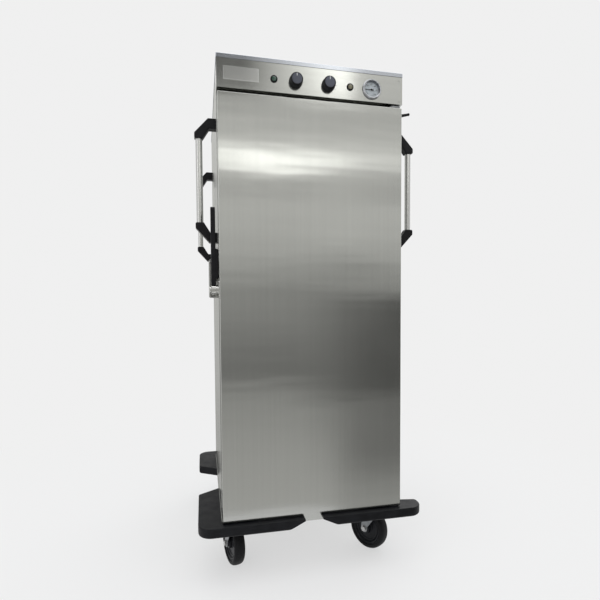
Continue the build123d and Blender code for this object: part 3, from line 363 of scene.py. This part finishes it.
def soften(shape, width, segments=2):
    """Rounds every edge of a bmesh that is sharper than the angle that gets eased."""
    sharp = [e for e in shape.edges if e.is_manifold and e.calc_face_angle() > EASED_ANGLE]
    bmesh.ops.bevel(shape, geom=sharp, offset=width, segments=segments, affect="EDGES",
                    profile=0.5, material=-1, clamp_overlap=True)


def eased(node, width, segments=2):
    """A merged copy of a CAD node with its sharp edges rounded."""
    shape = bmesh.new()
    shape.from_mesh(frame["nodes"][node].data)
    for face in shape.faces:
        face.material_index = 0
    bmesh.ops.remove_doubles(shape, verts=shape.verts, dist=MERGE_DISTANCE)
    bmesh.ops.dissolve_limit(shape, angle_limit=FLAT_ANGLE, verts=shape.verts, edges=shape.edges)
    soften(shape, width, segments)
    return shape


STEEL_TONE = (0.49, 0.495, 0.475)
wall_steel = sheet_steel("wall_steel", STEEL_TONE, "Z", 0.17, 0.85, 0, 0.0006)
chamber_steel = sheet_steel("chamber_steel", (0.56, 0.56, 0.55), "Z", 0.24, 0.3, 0, 0.0004)
dress(wall_steel, "side_panels", "back_panel")
dress(chamber_steel, "liner", "base_panel")
fitted("chamber_mouth", eased("front_frame", 0.0006), wall_steel, "cabinet",
       ["front_frame"])

# Mineral wool: yellow slabs inside the walls and the door, cut to fit between the sheets. None
# of it shows on the finished cupboard.
wool, nodes, links, shader = blank_material("wool")
fibres = add_noise(nodes, links, (260, 260, 40), 6)
links.new(add_ramp(nodes, links, fibres, (0.42, 0.33, 0.13), (0.66, 0.56, 0.3)),
          shader.inputs["Base Color"])
links.new(add_bump(nodes, links, fibres, 0.002), shader.inputs["Normal"])
shader.inputs["Roughness"].default_value = 0.95
dress(wool, "insulation", "door_insulation")

# Chassis: a welded rectangle of stainless tube with a gusset plate in each corner, under the
# floor. The bumpers cover it but for a hand's width at the front.
fitted("chassis", eased("chassis_frame", 0.0012), wall_steel, "cabinet",
       ["chassis_frame"])

# Bumpers: four corner buffers of solid black rubber, bolted to the chassis. Their edges are
# rounded, and the surface is dull, with paler scuffs.


def moulding(name, tone, roughness, grain, depth, scuff=0.0):
    """Moulded plastic or rubber: a fine grain, a mottle, and paler scuffs if it has any."""
    material, nodes, links, shader = blank_material(name)
    mottle = add_noise(nodes, links, (grain / 24, grain / 24, grain / 24), 3)
    scratches = add_noise(nodes, links, (35, 35, 240), 4)
    dark = [0.8 * c for c in tone]
    light = [1.2 * c + scuff for c in tone]
    both = nodes.new("ShaderNodeMath")
    both.operation = "MULTIPLY"
    links.new(mottle, both.inputs[0])
    links.new(scratches, both.inputs[1])
    double = nodes.new("ShaderNodeMath")
    double.operation = "MULTIPLY"
    double.inputs[1].default_value = 2
    links.new(both.outputs[0], double.inputs[0])
    links.new(add_ramp(nodes, links, double.outputs[0], dark, light), shader.inputs["Base Color"])
    rough = add_range(nodes, links, mottle, roughness - 0.07, roughness + 0.07)
    links.new(rough, shader.inputs["Roughness"])
    grit = add_noise(nodes, links, (grain, grain, grain), 2)
    links.new(add_bump(nodes, links, grit, depth), shader.inputs["Normal"])
    shader.inputs["Specular IOR Level"].default_value = 0.16
    return material


bumper_rubber = moulding("bumper_rubber", (0.005, 0.0054, 0.0072), 0.46, 700, 0.00006, 0.003)
dress(bumper_rubber, "front_bumpers", "rear_bumpers")

# Castors: a zinc plated fork of pressed steel under a ball race, and a wheel with a black nylon
# centre and a black rubber tyre, on a bolt. Each stands as it has turned on its own kingpin.


def turned(outline, steps=64):
    """A new bmesh spun about Z from an outline of (radius, height) points."""
    shape = bmesh.new()
    points = [shape.verts.new((radius, 0, height)) for radius, height in outline]
    for first, second in zip(points, points[1:]):
        shape.edges.new((first, second))
    whole = shape.verts[:] + shape.edges[:]
    bmesh.ops.spin(shape, geom=whole, cent=(0, 0, 0), axis=(0, 0, 1), angle=2 * math.pi,
                   steps=steps, use_merge=True)
    bmesh.ops.remove_doubles(shape, verts=shape.verts, dist=1e-6)
    bmesh.ops.recalc_face_normals(shape, faces=shape.faces)
    return shape


def slab(outline, depth, corners=(), radius=0.0, steps=6):
    """A new bmesh: a flat outline of (x, y) points with some corners rounded, thick along Z."""
    shape = bmesh.new()
    points = [shape.verts.new((x, y, 0)) for x, y in outline]
    shape.faces.new(points)
    if corners:
        bmesh.ops.bevel(shape, geom=[points[i] for i in corners], offset=radius, segments=steps,
                        affect="VERTICES", profile=0.5, material=-1, clamp_overlap=True)
    raised = bmesh.ops.extrude_face_region(shape, geom=shape.faces[:])
    verts = [item for item in raised["geom"] if isinstance(item, bmesh.types.BMVert)]
    bmesh.ops.translate(shape, verts=verts, vec=(0, 0, depth))
    bmesh.ops.recalc_face_normals(shape, faces=shape.faces)
    return shape


def joined(*shapes):
    """Several bmeshes as one."""
    whole = bmesh.new()
    for shape in shapes:
        carrier = bpy.data.meshes.new("carrier")
        shape.to_mesh(carrier)
        shape.free()
        whole.from_mesh(carrier)
        bpy.data.meshes.remove(carrier)
    return whole


def moved(shape, matrix):
    """The bmesh itself, put in another place."""
    bmesh.ops.transform(shape, matrix=matrix, verts=shape.verts)
    return shape


def plated(name, tone, roughness, cloud, speck=0.000006):
    """Plated or cast metal: cloudy in tone and shine."""
    material, nodes, links, shader = blank_material(name)
    clouds = add_noise(nodes, links, (cloud, cloud, cloud), 4)
    specks = add_noise(nodes, links, (1800, 1800, 1800), 2)
    links.new(add_ramp(nodes, links, clouds, [0.85 * c for c in tone], [1.1 * c for c in tone]),
              shader.inputs["Base Color"])
    links.new(add_range(nodes, links, clouds, roughness - 0.06, roughness + 0.08),
              shader.inputs["Roughness"])
    links.new(add_bump(nodes, links, specks, speck), shader.inputs["Normal"])
    shader.inputs["Metallic"].default_value = 1
    return material


zinc = plated("zinc", (0.26, 0.27, 0.28), 0.36, 45)
bolt_zinc = plated("bolt_zinc", (0.5, 0.5, 0.5), 0.24, 90)
tyre_rubber = moulding("tyre_rubber", (0.0042, 0.0044, 0.0052), 0.5, 600, 0.00005, 0.003)
wheel_nylon = moulding("wheel_nylon", (0.011, 0.0118, 0.0142), 0.34, 1100, 0.00003)
dress(zinc, "castor_plates")
dress(bolt_zinc, "castor_bolts")

TRAIL = 0.040
AXLE_Z = 0.080
LEG_INSIDE = 0.024
LEG_SHEET = 0.005
FORK_EYE_RADIUS = 0.0144
BRIDGE_SIZE = (0.057, 0.062, 0.005)
BRIDGE_PLACE = (0, 0.001, 0.1735)
BOLT_RADIUS = 0.0058
BOLT_HALF = 0.0295
BOLT_HEAD_RADIUS = 0.0102
BOLT_HEAD_DEPTH = 0.0052
BOLT_HEAD_MIDDLE = 0.0329
WASHER = [(0, 0.029), (0.0115, 0.029), (0.0118, 0.0296), (0.0115, 0.0303), (0, 0.0303)]
WHEEL_STEPS = 96
TYRE_HALF = [
    (0.0640, 0.0170), (0.0650, 0.0192), (0.0690, 0.0196), (0.0700, 0.0188), (0.0708, 0.0188),
    (0.0718, 0.0195), (0.0745, 0.0184), (0.0772, 0.0158), (0.0791, 0.0115), (0.0800, 0.0050),
]
CENTRE_HALF = [
    (0.0062, 0.0226), (0.0150, 0.0230), (0.0190, 0.0222), (0.0200, 0.0190), (0.0206, 0.0120),
    (0.0235, 0.0092), (0.0430, 0.0088), (0.0448, 0.0112), (0.0490, 0.0116), (0.0510, 0.0096),
    (0.0530, 0.0110), (0.0548, 0.0150), (0.0580, 0.0166), (0.0600, 0.0158), (0.0612, 0.0145),
    (0.0630, 0.0150), (0.0640, 0.0160),
]
LEG_OUTLINE = [
    (-0.030, 0.176), (0.034, 0.176), (0.036, 0.164), (0.0545, 0.092), (0.0545, 0.0655),
    (0.0255, 0.0655), (0.0255, 0.088), (-0.026, 0.158),
]
RACE = [
    (0, 0.1906), (0.0290, 0.1906), (0.0325, 0.1896), (0.0340, 0.1872), (0.0336, 0.1850),
    (0.0318, 0.1842), (0.0318, 0.1830), (0.0338, 0.1822), (0.0342, 0.1796), (0.0330, 0.1768),
    (0.0300, 0.1758), (0, 0.1758),
]
both_faces = {
    "tyre": TYRE_HALF + [(r, -z) for r, z in reversed(TYRE_HALF)] + TYRE_HALF[:1],
    "wheel_centre": CENTRE_HALF + [(r, -z) for r, z in reversed(CENTRE_HALF)] + CENTRE_HALF[:1],
}
joints = {joint["name"]: joint for joint in frame["joints"]}
across = Matrix.Rotation(math.pi / 2, 4, "Y")
upright = Matrix(((0, 0, 1, 0), (0, 1, 0, 0), (1, 0, 0, 0), (0, 0, 0, 1)))
for corner in ("front_left", "front_right", "rear_left", "rear_right"):
    kingpin = Vector(joints[f"swivel_{corner}"]["pos_m"])
    axle = Vector(joints[f"roll_{corner}"]["axis"])
    stand = Matrix.Translation((kingpin.x, kingpin.y, 0)) @ Matrix.Rotation(
        math.atan2(axle.y, axle.x), 4, "Z"
    )
    on_axle = stand @ Matrix.Translation((0, TRAIL, AXLE_Z)) @ across

    tyre = moved(turned(both_faces["tyre"], WHEEL_STEPS), on_axle)
    fitted(f"tyre_{corner}", tyre, tyre_rubber, f"roller_{corner}",
           [f"wheel_{corner}"])
    centre = moved(turned(both_faces["wheel_centre"], WHEEL_STEPS), on_axle)
    fitted(f"wheel_centre_{corner}", centre, wheel_nylon, f"roller_{corner}",
           [f"wheel_{corner}"])

    legs = []
    for side in (-LEG_INSIDE - LEG_SHEET, LEG_INSIDE):
        outline = [(z, y) for y, z in reversed(LEG_OUTLINE)]
        leg = slab(outline, LEG_SHEET, (2, 3), FORK_EYE_RADIUS, 8)
        soften(leg, 0.0012)
        moved(leg, Matrix.Translation((side, 0, 0)) @ upright)
        bmesh.ops.recalc_face_normals(leg, faces=leg.faces)
        legs.append(leg)
    bridge = bmesh.new()
    bmesh.ops.create_cube(bridge, size=1)
    bmesh.ops.scale(bridge, verts=bridge.verts, vec=BRIDGE_SIZE)
    bmesh.ops.translate(bridge, verts=bridge.verts, vec=BRIDGE_PLACE)
    soften(bridge, 0.0012)
    race = turned(RACE, 72)
    fork = moved(joined(race, bridge, *legs), stand)
    fitted(f"castor_fork_{corner}", fork, zinc, f"swivel_{corner}",
           [f"fork_{corner}"])

    bolt = [turned([(0, -BOLT_HALF), (BOLT_RADIUS, -BOLT_HALF), (BOLT_RADIUS, BOLT_HALF),
                    (0, BOLT_HALF)], 32)]
    for turn in (math.pi, 0):
        head = bmesh.new()
        bmesh.ops.create_cone(head, cap_ends=True, segments=6, radius1=BOLT_HEAD_RADIUS,
                              radius2=BOLT_HEAD_RADIUS, depth=BOLT_HEAD_DEPTH)
        bmesh.ops.translate(head, verts=head.verts, vec=(0, 0, BOLT_HEAD_MIDDLE))
        soften(head, 0.0007)
        end = Matrix.Rotation(turn, 4, "X")
        bolt += [moved(turned(WASHER), end), moved(head, end)]
    fitted(f"axle_bolt_{corner}", moved(joined(*bolt), on_axle), bolt_zinc, f"swivel_{corner}",
           [f"fork_{corner}"])

# Lid: a shallow tray of the same sheet, folded down 14 mm all round and pushed over the walls
# and the fascia. Its grain runs across.
level_steel = sheet_steel("level_steel", (0.46, 0.48, 0.52), "X", 0.2, 0.7, 0.25, 0.0003)
dress(level_steel, "top_lid")

# Tray racks: upright channels on each wall of the chamber with a rolled strip for every tray
# level. They hang on studs and lift out for cleaning.
rack_steel = sheet_steel("rack_steel", (0.55, 0.55, 0.54), "Y", 0.22, 0.3, 0)
for side in ("left", "right"):
    fitted(f"rack_{side}", eased(f"tray_rack_{side}", 0.0007), rack_steel, "cabinet",
           [f"tray_rack_{side}"])

# Fan, its motor and its baffle: warm air is drawn up through the baffle's holes and blown out
# at the sides. The ring heater is a sheathed element round the fan wheel.
element = plated("element", (0.16, 0.13, 0.12), 0.42, 120)
cast_alloy = plated("cast_alloy", (0.36, 0.36, 0.37), 0.42, 160)
dress(chamber_steel, "air_baffle")
dress(element, "ring_heater")
dress(rack_steel, "fan_impeller")
MOTOR_FOOT_Z = 1.6255
FIN_COUNT = 9
FIRST_FIN = 0.0085
FIN_PITCH = 0.0045
MOTOR_RADIUS = 0.0420
GROOVE_RADIUS = 0.0392
SHELL = [(0.0040, 0), (0.0550, 0), (0.0552, 0.0034), (0.0540, 0.0042), (0.0440, 0.0046),
         (MOTOR_RADIUS, 0.0062)]
for fin in range(FIN_COUNT):
    low = FIRST_FIN + FIN_PITCH * fin
    SHELL += [(MOTOR_RADIUS, low), (GROOVE_RADIUS, low + 0.0006), (GROOVE_RADIUS, low + 0.0022),
              (MOTOR_RADIUS, low + 0.0028)]
SHELL += [(MOTOR_RADIUS, 0.0525), (0.0405, 0.0560), (0.0340, 0.0580), (0.0160, 0.0592),
          (0, 0.0598)]
motor_shell = moved(turned(SHELL, 72), Matrix.Translation((0, 0, MOTOR_FOOT_Z)))
fitted("motor_shell", motor_shell, cast_alloy, "cabinet", ["fan_motor"])

# Control gear: the switch and the thermostat screwed behind the fascia, the terminals on the
# zinc plated tray over the ceiling, and the cable gland in the back. The bodies are moulded.
gear_plastic = moulding("gear_plastic", (0.035, 0.034, 0.033), 0.4, 900, 0.00003)
terminal_white = moulding("terminal_white", (0.62, 0.6, 0.55), 0.38, 900, 0.00002)
spindle_steel = plated("spindle_steel", (0.5, 0.5, 0.49), 0.2, 200)
dress(zinc, "control_tray")
for name in ("power_switch", "thermostat"):
    fitted(f"{name}_body", eased(name, 0.0012), gear_plastic, "cabinet", [name])
fitted("terminal_strip", eased("terminal_block", 0.0008), terminal_white, "cabinet",
       ["terminal_block"])
dress(spindle_steel, "power_spindle", "thermostat_spindle")
dress(gear_plastic, "cable_gland")

# Fascia: one sheet with its lower edge and its sides folded back, punched for the controls. The
# name plate is left bare.
fascia_steel = sheet_steel("fascia_steel", STEEL_TONE, "X", 0.15, 0.6, 0.25, 0.0001)
plate_metal = sheet_steel("plate_metal", (0.57, 0.575, 0.56), "X", 0.2, 0.6, 0.25, 0.0001)
fitted("fascia", eased("fascia_panel", 0.0008, 3), fascia_steel, "cabinet",
       ["fascia_panel"])
FASCIA_Y = -0.3962
PLATE_X, PLATE_Z = -0.240, 1.680
PLATE_HALF_WIDTH, PLATE_HALF_HEIGHT = 0.0575, 0.022
PLATE_THICKNESS = 0.0009
PLATE_ROUNDING = 0.003
PLATE_RIM = 0.0016
PLATE_RIM_SLOPE = 0.0006
PLATE_HOLLOW = 0.0005
ways = ((-1, -1), (1, -1), (1, 1), (-1, 1))
blank = slab([(x * PLATE_HALF_WIDTH, y * PLATE_HALF_HEIGHT) for x, y in ways],
             PLATE_THICKNESS, (0, 1, 2, 3), PLATE_ROUNDING)
front_face = max(blank.faces, key=lambda face: face.calc_center_median().z)
bmesh.ops.inset_region(blank, faces=[front_face], thickness=PLATE_RIM, depth=0)
bmesh.ops.inset_region(blank, faces=[front_face], thickness=PLATE_RIM_SLOPE, depth=-PLATE_HOLLOW)
moved(blank, Matrix.Translation((PLATE_X, FASCIA_Y, PLATE_Z))
      @ Matrix.Rotation(math.pi / 2, 4, "X"))
fitted("blank_plate", blank, plate_metal, "cabinet", ["name_plate"])
dress(fascia_steel, "fixing_screws")

# Indicator lamps: a black rim screwed through the fascia with a clear coloured lens in it. The
# left one is green and shows mains, the right one is amber and shows heat; neither is lit.
ROW_Z = 1.675
fascia_place = {"power": -0.060, "thermostat": 0.052, "power_lamp": -0.133,
                "heating_lamp": 0.128, "thermometer": 0.206}


def on_fascia(name):
    """From a piece's own axes, Z out of the fascia and Y up, to its place in the row."""
    return Matrix.Translation((fascia_place[name], FASCIA_Y, ROW_Z)) @ Matrix.Rotation(
        math.pi / 2, 4, "X"
    )


def lens_plastic(name, tone):
    """Clear coloured plastic over a lamp that is off."""
    material, nodes, links, shader = blank_material(name)
    depth = add_noise(nodes, links, (420, 420, 420), 2)
    links.new(add_ramp(nodes, links, depth, [0.6 * c for c in tone], [1.5 * c for c in tone]),
              shader.inputs["Base Color"])
    links.new(add_range(nodes, links, depth, 0.12, 0.2), shader.inputs["Roughness"])
    links.new(add_bump(nodes, links, depth, 0.00008), shader.inputs["Normal"])
    shader.inputs["Coat Weight"].default_value = 0.6
    shader.inputs["Coat Roughness"].default_value = 0.08
    return material


rim_black = moulding("rim_black", (0.008, 0.008, 0.009), 0.3, 1400, 0.00002)
lamp_tones = {"power": (0.012, 0.05, 0.03), "heating": (0.13, 0.12, 0.07)}
rims = []
for lamp, tone in lamp_tones.items():
    place = on_fascia(f"{lamp}_lamp")
    rims.append(moved(turned([
        (0.0080, -0.0070), (0.0080, 0.0026), (0.0086, 0.0034), (0.0096, 0.0040),
        (0.0108, 0.0039), (0.0116, 0.0030), (0.0120, 0.0012), (0.0120, 0.0001),
        (0.0089, 0.0001), (0.0089, -0.0238), (0.0080, -0.0238), (0.0080, -0.0070),
    ], 56), place))
    lens = turned([
        (0, -0.0038), (0.0078, -0.0038), (0.0079, 0.0036), (0.0072, 0.0046), (0.0055, 0.0052),
        (0.0030, 0.0055), (0, 0.0055),
    ], 56)
    fitted(f"{lamp}_lens", moved(lens, place), lens_plastic(f"{lamp}_lens_plastic", tone),
           "cabinet", [f"{lamp}_lamp_lens"])
fitted("lamp_rims", joined(*rims), rim_black, "cabinet", ["lamp_bezels"])

# Control knobs: black moulded grips on steel spindles, each with a blue-grey metal face pressed
# into the front and a raised mark at the top.
knob_black = moulding("knob_black", (0.008, 0.0082, 0.0095), 0.34, 1300, 0.00003)
face_metal = sheet_steel("face_metal", (0.085, 0.09, 0.11), "X", 0.36, 0.2, 0.25)
mark_white = moulding("mark_white", (0.72, 0.72, 0.7), 0.5, 1400, 0.00001)
KNOB_SIDE = [
    (0.0032, 0.0006), (0.0222, 0.0006), (0.0229, 0.0012), (0.0228, 0.0032), (0.0222, 0.0040),
    (0.0214, 0.0170), (0.0208, 0.0195), (0.0200, 0.0215), (0.0186, 0.0224), (0.0176, 0.0222),
    (0.0174, 0.0212), (0, 0.0212),
]
KNOB_STEPS = 96
STEPS_PER_FLUTE = 4
FLUTE_DRAW_IN = 0.962
FLUTE_HEIGHTS = (0.0035, 0.018)
FLUTE_INNER_RADIUS = 0.02
MARK_SIZE = (0.0018, 0.0088, 0.0012)
MARK_PLACE = (0, 0.0125, 0.0226)
for control in ("power", "thermostat"):
    place = on_fascia(control)
    grip = turned(KNOB_SIDE, KNOB_STEPS)
    for vert in grip.verts:
        step = round(math.atan2(vert.co.y, vert.co.x) / (2 * math.pi / KNOB_STEPS))
        on_side = FLUTE_HEIGHTS[0] < vert.co.z < FLUTE_HEIGHTS[1]
        if on_side and vert.co.xy.length > FLUTE_INNER_RADIUS and step % STEPS_PER_FLUTE == 0:
            vert.co.xy *= FLUTE_DRAW_IN
    fitted(f"{control}_grip", moved(grip, place), knob_black, f"{control}_control",
           [f"{control}_knob"])
    face = turned([(0, 0.0213), (0.0172, 0.0213), (0.0173, 0.0220), (0.0166, 0.0224),
                   (0.0120, 0.0225), (0, 0.0225)], 72)
    fitted(f"{control}_face", moved(face, place), face_metal, f"{control}_control",
           [f"{control}_knob"])
    mark = bmesh.new()
    bmesh.ops.create_cube(mark, size=1)
    bmesh.ops.scale(mark, verts=mark.verts, vec=MARK_SIZE)
    bmesh.ops.translate(mark, verts=mark.verts, vec=MARK_PLACE)
    soften(mark, 0.0003)
    fitted(f"{control}_mark", moved(mark, place), mark_white, f"{control}_control",
           [f"{control}_knob"])

# Scales round the knobs: short strokes printed on the fascia in black ink, two at the power
# knob and ten at the thermostat, one every 30 degrees.
STROKE_SIZE = (0.0042, 0.0008, 0.00012)
STROKE_RADIUS = 0.0275
ink = moulding("ink", (0.05, 0.05, 0.055), 0.5, 1500, 0.00001)
for control, turns in (("power", (90, 0)), ("thermostat", range(90, -181, -30))):
    strokes = []
    for turn in turns:
        stroke = bmesh.new()
        bmesh.ops.create_cube(stroke, size=1)
        bmesh.ops.scale(stroke, verts=stroke.verts, vec=STROKE_SIZE)
        bmesh.ops.translate(stroke, verts=stroke.verts, vec=(STROKE_RADIUS, 0, STROKE_SIZE[2]))
        strokes.append(moved(stroke, on_fascia(control) @ Matrix.Rotation(
            math.radians(turn), 4, "Z")))
    fitted(f"{control}_scale", joined(*strokes), ink, "cabinet")

# Thermometer: a steel bezel rolled over a flat glass, a pale dial with its strokes and numbers
# printed, and a black pointer on the staff.
bezel_steel = plated("bezel_steel", (0.42, 0.43, 0.45), 0.16, 60, 0.000001)
dial_paint = moulding("dial_paint", (0.62, 0.66, 0.7), 0.5, 1200, 0.00001)
needle_black = moulding("needle_black", (0.02, 0.02, 0.022), 0.4, 1500, 0.00001)
glass, nodes, links, shader = blank_material("glass")
haze = add_noise(nodes, links, (60, 60, 60), 3)
links.new(add_range(nodes, links, haze, 0.01, 0.05), shader.inputs["Roughness"])
links.new(add_ramp(nodes, links, haze, (0.93, 0.95, 0.96), (1, 1, 1)), shader.inputs["Base Color"])
shader.inputs["Transmission Weight"].default_value = 1
shader.inputs["IOR"].default_value = 1.06
place = on_fascia("thermometer")
bezel = turned([
    (0.0270, -0.0060), (0.0270, 0.0028), (0.0290, 0.0028), (0.0290, 0.0047), (0.0276, 0.0049),
    (0.0278, 0.0058), (0.0290, 0.0064), (0.0312, 0.0064), (0.0328, 0.0054), (0.0337, 0.0036),
    (0.0340, 0.0001), (0.0280, 0.0001), (0.0280, -0.0258), (0, -0.0258), (0, -0.0248),
    (0.0270, -0.0248), (0.0270, -0.0060),
], 96)
fitted("thermometer_bezel", moved(bezel, place), bezel_steel, "cabinet",
       ["thermometer_case"])
disc = turned([(0.0012, -0.0060), (0.0268, -0.0060), (0.0268, -0.0051), (0.0266, -0.0050),
               (0.0012, -0.0050), (0.0012, -0.0060)], 96)
fitted("dial", moved(disc, place), dial_paint, "cabinet", ["thermometer_dial"])
FIRST_TURN = 225
SWEEP = 270
SMALL_STEPS = 30
STEPS_PER_NUMBER = 5
PRINT_HEIGHT = -0.0049
LONG_STROKE = ((0.0036, 0.0006, 0.0001), 0.0242)
SHORT_STROKE = ((0.0020, 0.0003, 0.0001), 0.0250)
NUMBER_SIZE = 0.0058
NUMBER_RADIUS = 0.0185
NUMBER_DEPTH = 0.00005
DEGREES_PER_NUMBER = 20
strokes = []
for step in range(SMALL_STEPS + 1):
    size, radius = SHORT_STROKE if step % STEPS_PER_NUMBER else LONG_STROKE
    stroke = bmesh.new()
    bmesh.ops.create_cube(stroke, size=1)
    bmesh.ops.scale(stroke, verts=stroke.verts, vec=size)
    bmesh.ops.translate(stroke, verts=stroke.verts, vec=(radius, 0, PRINT_HEIGHT))
    strokes.append(moved(stroke, place @ Matrix.Rotation(
        math.radians(FIRST_TURN - SWEEP * step / SMALL_STEPS), 4, "Z")))
fitted("dial_strokes", joined(*strokes), needle_black, "cabinet",
       ["thermometer_dial"])
numbers = []
number_count = SMALL_STEPS // STEPS_PER_NUMBER
for step in range(number_count + 1):
    turn = math.radians(FIRST_TURN - SWEEP * step / number_count)
    line = bpy.data.curves.new("number", "FONT")
    line.body = str(DEGREES_PER_NUMBER * step)
    line.size = NUMBER_SIZE
    line.extrude = NUMBER_DEPTH
    line.align_x = "CENTER"
    line.align_y = "CENTER"
    line.resolution_u = 3
    holder = bpy.data.objects.new("number", line)
    scene.collection.objects.link(holder)
    number = bmesh.new()
    number.from_mesh(bpy.data.meshes.new_from_object(
        holder.evaluated_get(bpy.context.evaluated_depsgraph_get())))
    bpy.data.objects.remove(holder)
    spot = Vector((NUMBER_RADIUS * math.cos(turn), NUMBER_RADIUS * math.sin(turn), PRINT_HEIGHT))
    numbers.append(moved(number, place @ Matrix.Translation(spot)))
fitted("dial_numbers", joined(*numbers), needle_black, "cabinet",
       ["thermometer_dial"])
fitted("pointer", eased("thermometer_needle", 0.00015), needle_black, "pointer",
       ["thermometer_needle"])
dress(glass, "thermometer_glass")

# Door: a folded outer tray and an inner sheet with wool between, and a black seal round the
# back. It hangs on a pin at the top and one at the bottom, in nylon bushes.
dress(wall_steel, "door_outer_skin")
dress(chamber_steel, "door_inner_skin")
seal_rubber = moulding("seal_rubber", (0.02, 0.02, 0.021), 0.55, 500, 0.00005)
fitted("door_seal", eased("door_gasket", 0.0022, 3), seal_rubber, "door",
       ["door_gasket"])
bush_nylon = moulding("bush_nylon", (0.6, 0.6, 0.56), 0.42, 900, 0.00002)
dress(bush_nylon, "hinge_bushes")
fitted("hinge_plates", eased("hinge_brackets", 0.0008), zinc, "cabinet",
       ["hinge_brackets"])

# Latch: a black moulded lever on a turned steel boss at the door's edge, its tongue, and the
# pressed steel keeper on the wall with the leaf spring in it.
black_nylon = moulding("black_nylon", (0.0065, 0.0065, 0.0078), 0.36, 1000, 0.00004, 0.002)
bright_steel = plated("bright_steel", (0.6, 0.6, 0.58), 0.2, 70, 0.000001)
LATCH_PIN = Vector(joints["latch_lever"]["pos_m"])
GRIP_START = 0.014
HUB_HALF = 0.0075
NECK_THICKNESS = 0.010
grip = eased("latch_lever", 0.0012)
bmesh.ops.bisect_plane(grip, geom=grip.verts[:] + grip.edges[:] + grip.faces[:],
                       plane_co=(0, 0, LATCH_PIN.z + GRIP_START), plane_no=(0, 0, 1),
                       clear_inner=True)
bmesh.ops.holes_fill(grip, edges=[e for e in grip.edges if e.is_boundary])
fitted("latch_grip", grip, black_nylon, "latch", ["latch_lever"])
hub = turned([
    (0.0062, -HUB_HALF), (0.0150, -HUB_HALF), (0.0165, -0.0068), (0.0170, -0.0055),
    (0.0170, 0.0055), (0.0165, 0.0068), (0.0150, HUB_HALF), (0.0062, HUB_HALF),
    (0.0062, -HUB_HALF),
], 64)
neck = slab([(-0.0085, 0.010), (0.0085, 0.010), (0.0075, 0.040), (-0.0075, 0.040)],
            NECK_THICKNESS)
soften(neck, 0.0015)
moved(neck, Matrix.Rotation(math.pi / 2, 4, "Z")
      @ Matrix.Translation((0, 0, -NECK_THICKNESS / 2)))
hub_place = Matrix.Translation(LATCH_PIN) @ across
fitted("latch_hub", moved(joined(hub, neck), hub_place), bright_steel, "latch",
       ["latch_lever"])
fitted("latch_boss", eased("latch_base", 0.0012, 3), bright_steel, "door",
       ["latch_base"])
fitted("tongue", eased("latch_tongue", 0.0008), bright_steel, "latch",
       ["latch_tongue"])
fitted("keeper", eased("keeper_housing", 0.0006), bright_steel, "cabinet",
       ["keeper_housing"])
dress(bright_steel, "keeper_spring")

# Push handles: a length of polished tube held at each end by a black moulding that is screwed
# through the wall.
tube_steel = sheet_steel("tube_steel", (0.54, 0.54, 0.53), "Z", 0.24, 0.2, 0, 0, 0.000002)
fitted("handle_bars", eased("handle_tubes", 0.0004), tube_steel, "cabinet",
       ["handle_tubes"])
dress(black_nylon, "handle_brackets", "cord_hook")
